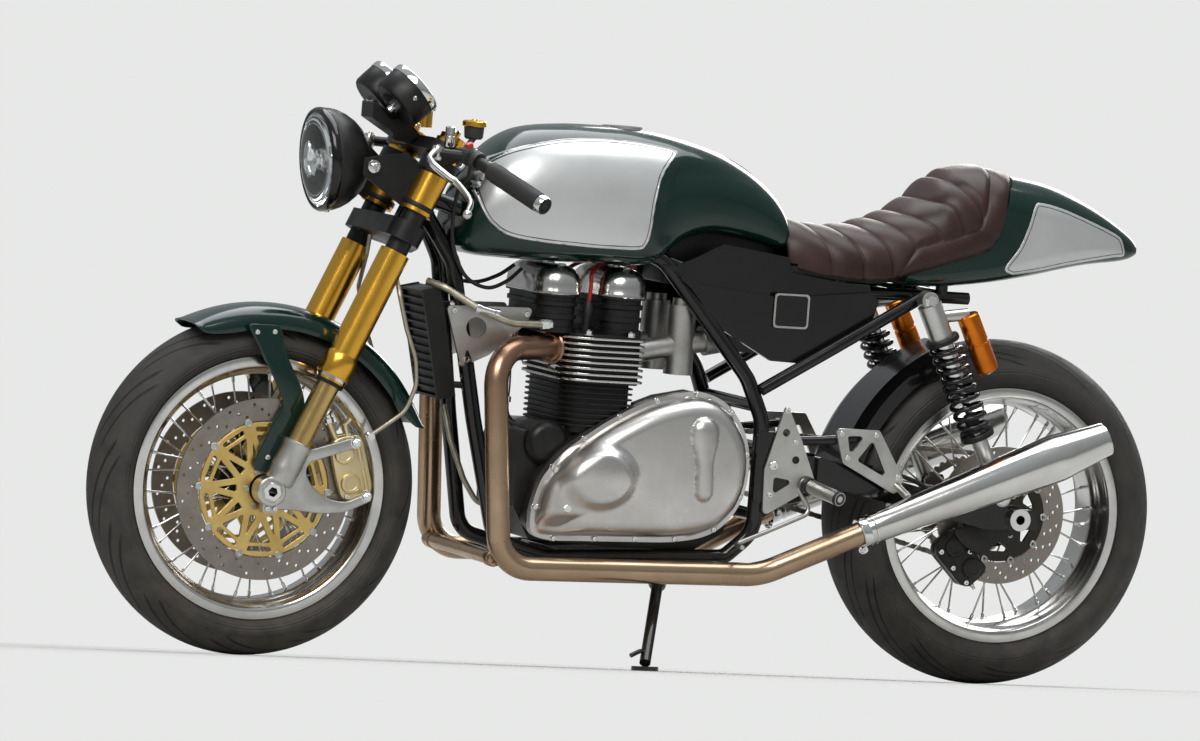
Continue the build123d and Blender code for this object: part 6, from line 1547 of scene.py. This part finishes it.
# Brackets, pegs and exhaust hardware
def make_hardware():
    """Bracket bolts, footpegs, silencer cans and bands, banjos, side plate rims, cooler dots and rear axle nuts."""
    bolts, pegs, caps, bands, rims, dots, banjos, cans, outlets = (bmesh.new() for _ in range(9))
    for side in (-1, 1):
        for x, z, size in ((0.237, 0.492, 0.006), (0.219, 0.392, 0.0085), (0.216, 0.34, 0.005), (0.29, 0.356, 0.005),
                (0.258, 0.436, 0.0045)):
            cap_screw(bolts, (x, side * 0.152, z), (0, side, 0), size, 0.006)
        for x, z in ((0.337, 0.457), (0.404, 0.457), (0.352, 0.414), (0.452, 0.384)):
            cap_screw(bolts, (x, side * 0.1724, z), (0, side, 0), 0.0052, 0.005)
        for x, z in ((-0.378, 0.632), (-0.24, 0.632), (-0.346, 0.546), (-0.262, 0.592)):
            cap_screw(bolts, (x, side * 0.0645, z), (0, side, 0), 0.0056, 0.005)
        start, end = Vector((0.284, side * 0.15, 0.362)), Vector((0.314, side * 0.244, 0.345))
        way = (end - start).normalized()
        rows = [(0.018, 0.0118)]
        for index in range(17):
            rows += [(0.02 + 0.0042 * index, 0.0131), (0.0224 + 0.0042 * index, 0.0131),
                    (0.0228 + 0.0042 * index, 0.0118), (0.0238 + 0.0042 * index, 0.0118)]
        turned(pegs, start, way, rows, 32)
        turned(caps, start + way * 0.0925, way, [(0, 0.0125), (0.001, 0.0135), (0.006, 0.0135), (0.0075, 0.0125),
                (0.008, 0.006), (0.0065, 0.0055), (0.0065, 0)], 28)
        turned(caps, start + way * 0.006, way, [(0, 0.012), (0, 0.015), (0.01, 0.015), (0.01, 0.012)], 28)
        low, high = Vector((0.374, side * 0.213, 0.284)), Vector((0.836, side * 0.23, 0.478))
        along_can = (high - low).normalized()
        turned(bands, low - along_can * 0.004, along_can, [(0, 0.0215), (0, 0.0262), (0.0012, 0.0276),
                (0.014, 0.0284), (0.0155, 0.0276), (0.0155, 0.024)], 56)
        turned(bands, low + along_can * 0.02, along_can, [(0, 0.0262), (0.001, 0.0278), (0.004, 0.028),
                (0.005, 0.0266)], 56)
        hex_nut(bolts, low + along_can * 0.004 + Vector((0, side * 0.004, -0.03)), (0, side, 0), 0.0065, 0.012)
        can = [(0.006, 0.025), (0.01, 0.0262), (0.06, 0.0282), (0.14, 0.0318), (0.23, 0.0362), (0.31, 0.0402),
                (0.36, 0.0424), (0.384, 0.0432), (0.394, 0.0432), (0.402, 0.0426), (0.412, 0.0412), (0.44, 0.0374),
                (0.47, 0.0336), (0.486, 0.0318), (0.492, 0.0316), (0.495, 0.0306), (0.495, 0.0288), (0.491, 0.0278),
                (0.44, 0.027)]
        turned(cans, low, along_can, can, 80)
        # the outlet's black inner tube is soot-dark pipe; the black disc that closes it deep inside is painted shade
        # for the hollow beyond
        turned(outlets, low, along_can, [(0.5, 0.0212), (0.5, 0.0198), (0.4, 0.0196), (0.4, 0.0)], 48)
        turned(outlets, low, along_can, [(0.5, 0.0212), (0.47, 0.0212), (0.47, 0.0274), (0.466, 0.0274)], 48)
        frame_plate = [rounded([(0.212, 0.636), (0.28, 0.636), (0.28, 0.698), (0.212, 0.698)], 0.008),
                rounded([(0.2155, 0.6395), (0.2765, 0.6395), (0.2765, 0.6945), (0.2155, 0.6945)], 0.0065)]
        pierced(rims, frame_plate, (0, side * 0.116 + 0.0006, 0), 0.0014)
        for index in range(9):
            share = (index + 0.5) / 9
            spot = Vector((-0.42 + 0.044 * share + 0.033, side * 0.0585, 0.668 - 0.192 * share + 0.008))
            turned(dots, spot, (0, side, 0), [(0, 0.0052), (0.002, 0.0048), (0.0026, 0.0)], 14)
        turned(bolts, REAR_AXLE + Vector((0, side * 0.1205, 0)), (0, side, 0),
                [(0, 0.019), (0.003, 0.019), (0.0035, 0.0165), (0.012, 0.0165), (0.0135, 0.0145), (0.0135, 0.01),
                (0.008, 0.0095)], 6)
    for side in (1, -1):
        turned(banjos, (-0.528, side * 0.092, 0.404), (0, side, 0),
                [(-0.006, 0.0), (-0.006, 0.0085), (0.004, 0.0085), (0.005, 0.0065), (0.011, 0.0065), (0.011, 0)], 12)
    way = Vector((0.86, -0.14, -0.2)).normalized()
    turned(bolts, (-0.348, -0.0955, 0.641), way, [(0, 0.0065), (0, 0.0092), (0.008, 0.0092), (0.009, 0.0076),
            (0.034, 0.0076), (0.035, 0.0092), (0.042, 0.0092), (0.043, 0.0065)], 12)
    turned(bolts, (-0.217, -0.1, 0.618), (1, 0, 0.1), [(-0.008, 0), (-0.008, 0.01), (0.006, 0.01), (0.007, 0.008),
            (0.012, 0.008), (0.012, 0)], 6)
    fitted("Bracket_bolts", bolts, "frame_body", bright_chrome)
    fitted("Silencer_cans", cans, "frame_body", polished_steel, ["silencers"], smooth=40)
    # the outlets' black inner tubes, closed by a black disc that is painted shade for the hollow beyond
    fitted("Silencer_outlets", outlets, "frame_body", black_satin, smooth=40)
    fitted("Brake_banjos", banjos, "steering", bright_chrome)
    fitted("Footpeg_knurls", pegs, "frame_body", brushed_alloy)
    fitted("Footpeg_caps", caps, "frame_body", black_plastic)
    fitted("Silencer_bands", bands, "frame_body", bright_chrome)
    fitted("Side_plate_rims", rims, "frame_body", brushed_alloy)
    fitted("Cooler_end_caps", dots, "frame_body", bright_chrome, smooth=40)


def make_rear_caliper():
    """The black rear caliper: two halves, a bridge, bolts, a bleed nipple and its hose."""
    bodies, bolts, hose = bmesh.new(), bmesh.new(), bmesh.new()
    out, up = tilted(225)
    half = rounded([(0.086, -0.046), (0.1, -0.052), (0.136, -0.05), (0.1455, -0.036), (0.1455, 0.036), (0.136, 0.05),
            (0.1, 0.052), (0.086, 0.046)], 0.009)
    bridge = rounded([(0.126, -0.044), (0.1445, -0.04), (0.1445, 0.04), (0.126, 0.044)], 0.005)
    for low in (-0.0585, -0.077):
        slab(bodies, half, REAR_AXLE + Vector((0, low - 0.0145, 0)), -0.0145, 0.003, 3, out, up)
    slab(bodies, bridge, REAR_AXLE + Vector((0, -0.056, 0)), 0.036, 0.002, 2, out, up)
    for v in (-0.026, 0.026):
        turned(bodies, REAR_AXLE + out * 0.11 + up * v + Vector((0, -0.091, 0)), (0, -1, 0),
                [(0, 0.019), (0.003, 0.0185), (0.005, 0.0165), (0.0055, 0.012), (0.0045, 0.011), (0.0045, 0)], 36)
    for u, v in ((0.136, -0.038), (0.136, 0.038), (0.094, 0.0), (0.138, 0.0)):
        cap_screw(bolts, REAR_AXLE + out * u + up * v + Vector((0, -0.0915, 0)), (0, -1, 0), 0.005, 0.005)
    turned(bolts, REAR_AXLE + out * 0.128 + up * 0.05 + Vector((0, -0.084, 0)), up,
            [(0, 0.0045), (0.004, 0.0045), (0.005, 0.003), (0.011, 0.003), (0.012, 0)], 12)
    slab(bodies, rounded([(0.728, 0.34), (0.752, 0.312), (0.732, 0.288), (0.7, 0.276), (0.664, 0.242), (0.622, 0.262),
            (0.6, 0.288), (0.64, 0.3), (0.686, 0.338)], 0.012), (0, -0.0955, 0), 0.01, 0.002)
    turned(bodies, (REAR_AXLE.x, -0.078, REAR_AXLE.z), (0, -1, 0),
            [(0, 0.0135), (0, 0.024), (0.034, 0.024), (0.036, 0.022), (0.036, 0.0135)], 40)
    rod(hose, smooth_path([(0.655, -0.088, 0.232), (0.64, -0.096, 0.262), (0.6, -0.104, 0.318), (0.52, -0.106, 0.372),
            (0.42, -0.104, 0.392), (0.33, -0.098, 0.4), (0.262, -0.09, 0.404)], 8), 0.0042, 12)
    fitted("Rear_caliper_bodies", bodies, "frame_body", black_satin, ["rear_brake"])
    fitted("Rear_caliper_bolts", bolts, "frame_body", bright_chrome)
    fitted("Rear_brake_hose", hose, "frame_body", rubber, smooth=50)


make_headers()
make_cylinders()
make_chain()
make_controls()
make_hardware()
make_rear_caliper()


# Floor, light and camera
def make_floor():
    """A pale floor and the pale backdrop that the camera, gloss and glass see."""
    bm = bmesh.new()
    bmesh.ops.create_grid(bm, x_segments=2, y_segments=2, size=60)
    mesh = bpy.data.meshes.new("Studio floor")
    bm.to_mesh(mesh)
    bm.free()
    floor = bpy.data.objects.new("Studio_floor", mesh)
    bpy.context.scene.collection.objects.link(floor)
    material, tree, shader = new_material("Pale studio floor")
    tone = spread(tree, noise(tree, object_point(tree), 3.0, 4.0), 0.3, 0.7, 0.0, 1.0)
    tree.links.new(mixed_colour(tree, tone, (0.47, 0.47, 0.46), (0.49, 0.49, 0.48)), shader.inputs["Base Color"])
    shader.inputs["Roughness"].default_value = 0.8
    shader.inputs["Specular IOR Level"].default_value = 0.1
    # further out the floor passes into the backdrop
    away = tree.nodes.new("ShaderNodeVectorMath")
    away.operation = "LENGTH"
    tree.links.new(object_point(tree), away.inputs[0])
    glow = tree.nodes.new("ShaderNodeEmission")
    glow.inputs["Color"].default_value = BACKDROP_COLOUR
    path = tree.nodes.new("ShaderNodeLightPath")
    blend = tree.nodes.new("ShaderNodeMixShader")
    far = spread(tree, away.outputs["Value"], 1.4, 4.5, 0.0, 1.0)
    seen = math_node(tree, "MAXIMUM", path.outputs["Is Camera Ray"], path.outputs["Is Transmission Ray"])
    tree.links.new(math_node(tree, "MULTIPLY", far, seen), blend.inputs["Fac"])
    tree.links.new(shader.outputs["BSDF"], blend.inputs[1])
    tree.links.new(glow.outputs["Emission"], blend.inputs[2])
    tree.links.new(blend.outputs[0], tree.nodes["Material Output"].inputs["Surface"])
    mesh.materials.append(material)


def make_world():
    """A soft pale surround: even light on the object, and a brighter backdrop for the camera."""
    world = bpy.data.worlds.new("Studio surround")
    bpy.context.scene.world = world
    world.use_nodes = True
    tree = world.node_tree
    tree.nodes.clear()
    point = tree.nodes.new("ShaderNodeTexCoord").outputs["Generated"]
    split = tree.nodes.new("ShaderNodeSeparateXYZ")
    tree.links.new(point, split.inputs[0])
    sky = spread(tree, split.outputs["Z"], -0.2, 0.9, 0.0, 1.0)
    light = tree.nodes.new("ShaderNodeBackground")
    tree.links.new(mixed_colour(tree, sky, (0.3, 0.31, 0.29), (0.62, 0.66, 0.7)), light.inputs["Color"])
    light.inputs["Strength"].default_value = 0.7
    seen = tree.nodes.new("ShaderNodeBackground")
    seen.inputs["Color"].default_value = BACKDROP_COLOUR
    seen.inputs["Strength"].default_value = 1.0
    path = tree.nodes.new("ShaderNodeLightPath")
    mix = tree.nodes.new("ShaderNodeMixShader")
    tree.links.new(path.outputs["Is Camera Ray"], mix.inputs["Fac"])
    tree.links.new(light.outputs[0], mix.inputs[1])
    tree.links.new(seen.outputs[0], mix.inputs[2])
    output = tree.nodes.new("ShaderNodeOutputWorld")
    tree.links.new(mix.outputs[0], output.inputs["Surface"])


def area_light(name, place, aim, size, power, colour):
    """A soft box lamp that looks at a point."""
    data = bpy.data.lights.new(name, "AREA")
    data.shape, data.size, data.size_y = "RECTANGLE", size[0], size[1]
    data.energy, data.color = power, colour
    lamp = bpy.data.objects.new(name, data)
    lamp.location = place
    lamp.rotation_euler = (Vector(aim) - Vector(place)).to_track_quat("-Z", "Y").to_euler()
    bpy.context.scene.collection.objects.link(lamp)


def make_camera():
    """A long lens near the floor, on the left and ahead, rolled a little as in the photograph."""
    data = bpy.data.cameras.new("Portrait camera")
    data.lens, data.sensor_width = 254.8, 36.0
    data.clip_start, data.clip_end = 0.5, 200.0
    camera = bpy.data.objects.new("Portrait_camera", data)
    place = Vector((-5.7485, -14.0146, 0.025))
    aim = Vector((-0.0505, 0.0884, 0.534))
    turn = (aim - place).to_track_quat("-Z", "Y").to_matrix().to_4x4() @ Matrix.Rotation(math.radians(2.28), 4, "Z")
    camera.matrix_world = Matrix.Translation(place) @ turn
    bpy.context.scene.collection.objects.link(camera)
    bpy.context.scene.camera = camera


make_floor()
make_world()
area_light("Key softbox", (-2.6, -4.2, 4.4), (0, 0, 0.5), (4.0, 3.0), 260, (1.0, 0.98, 0.95))
area_light("Top softbox", (0.6, 0.4, 4.2), (0, 0, 0.5), (5.0, 3.0), 160, (0.96, 0.98, 1.0))
area_light("Rear rim light", (3.2, 3.6, 2.6), (0, 0, 0.6), (3.0, 2.4), 110, (1.0, 0.98, 0.94))
make_camera()
bpy.context.scene.view_settings.view_transform = "Standard"
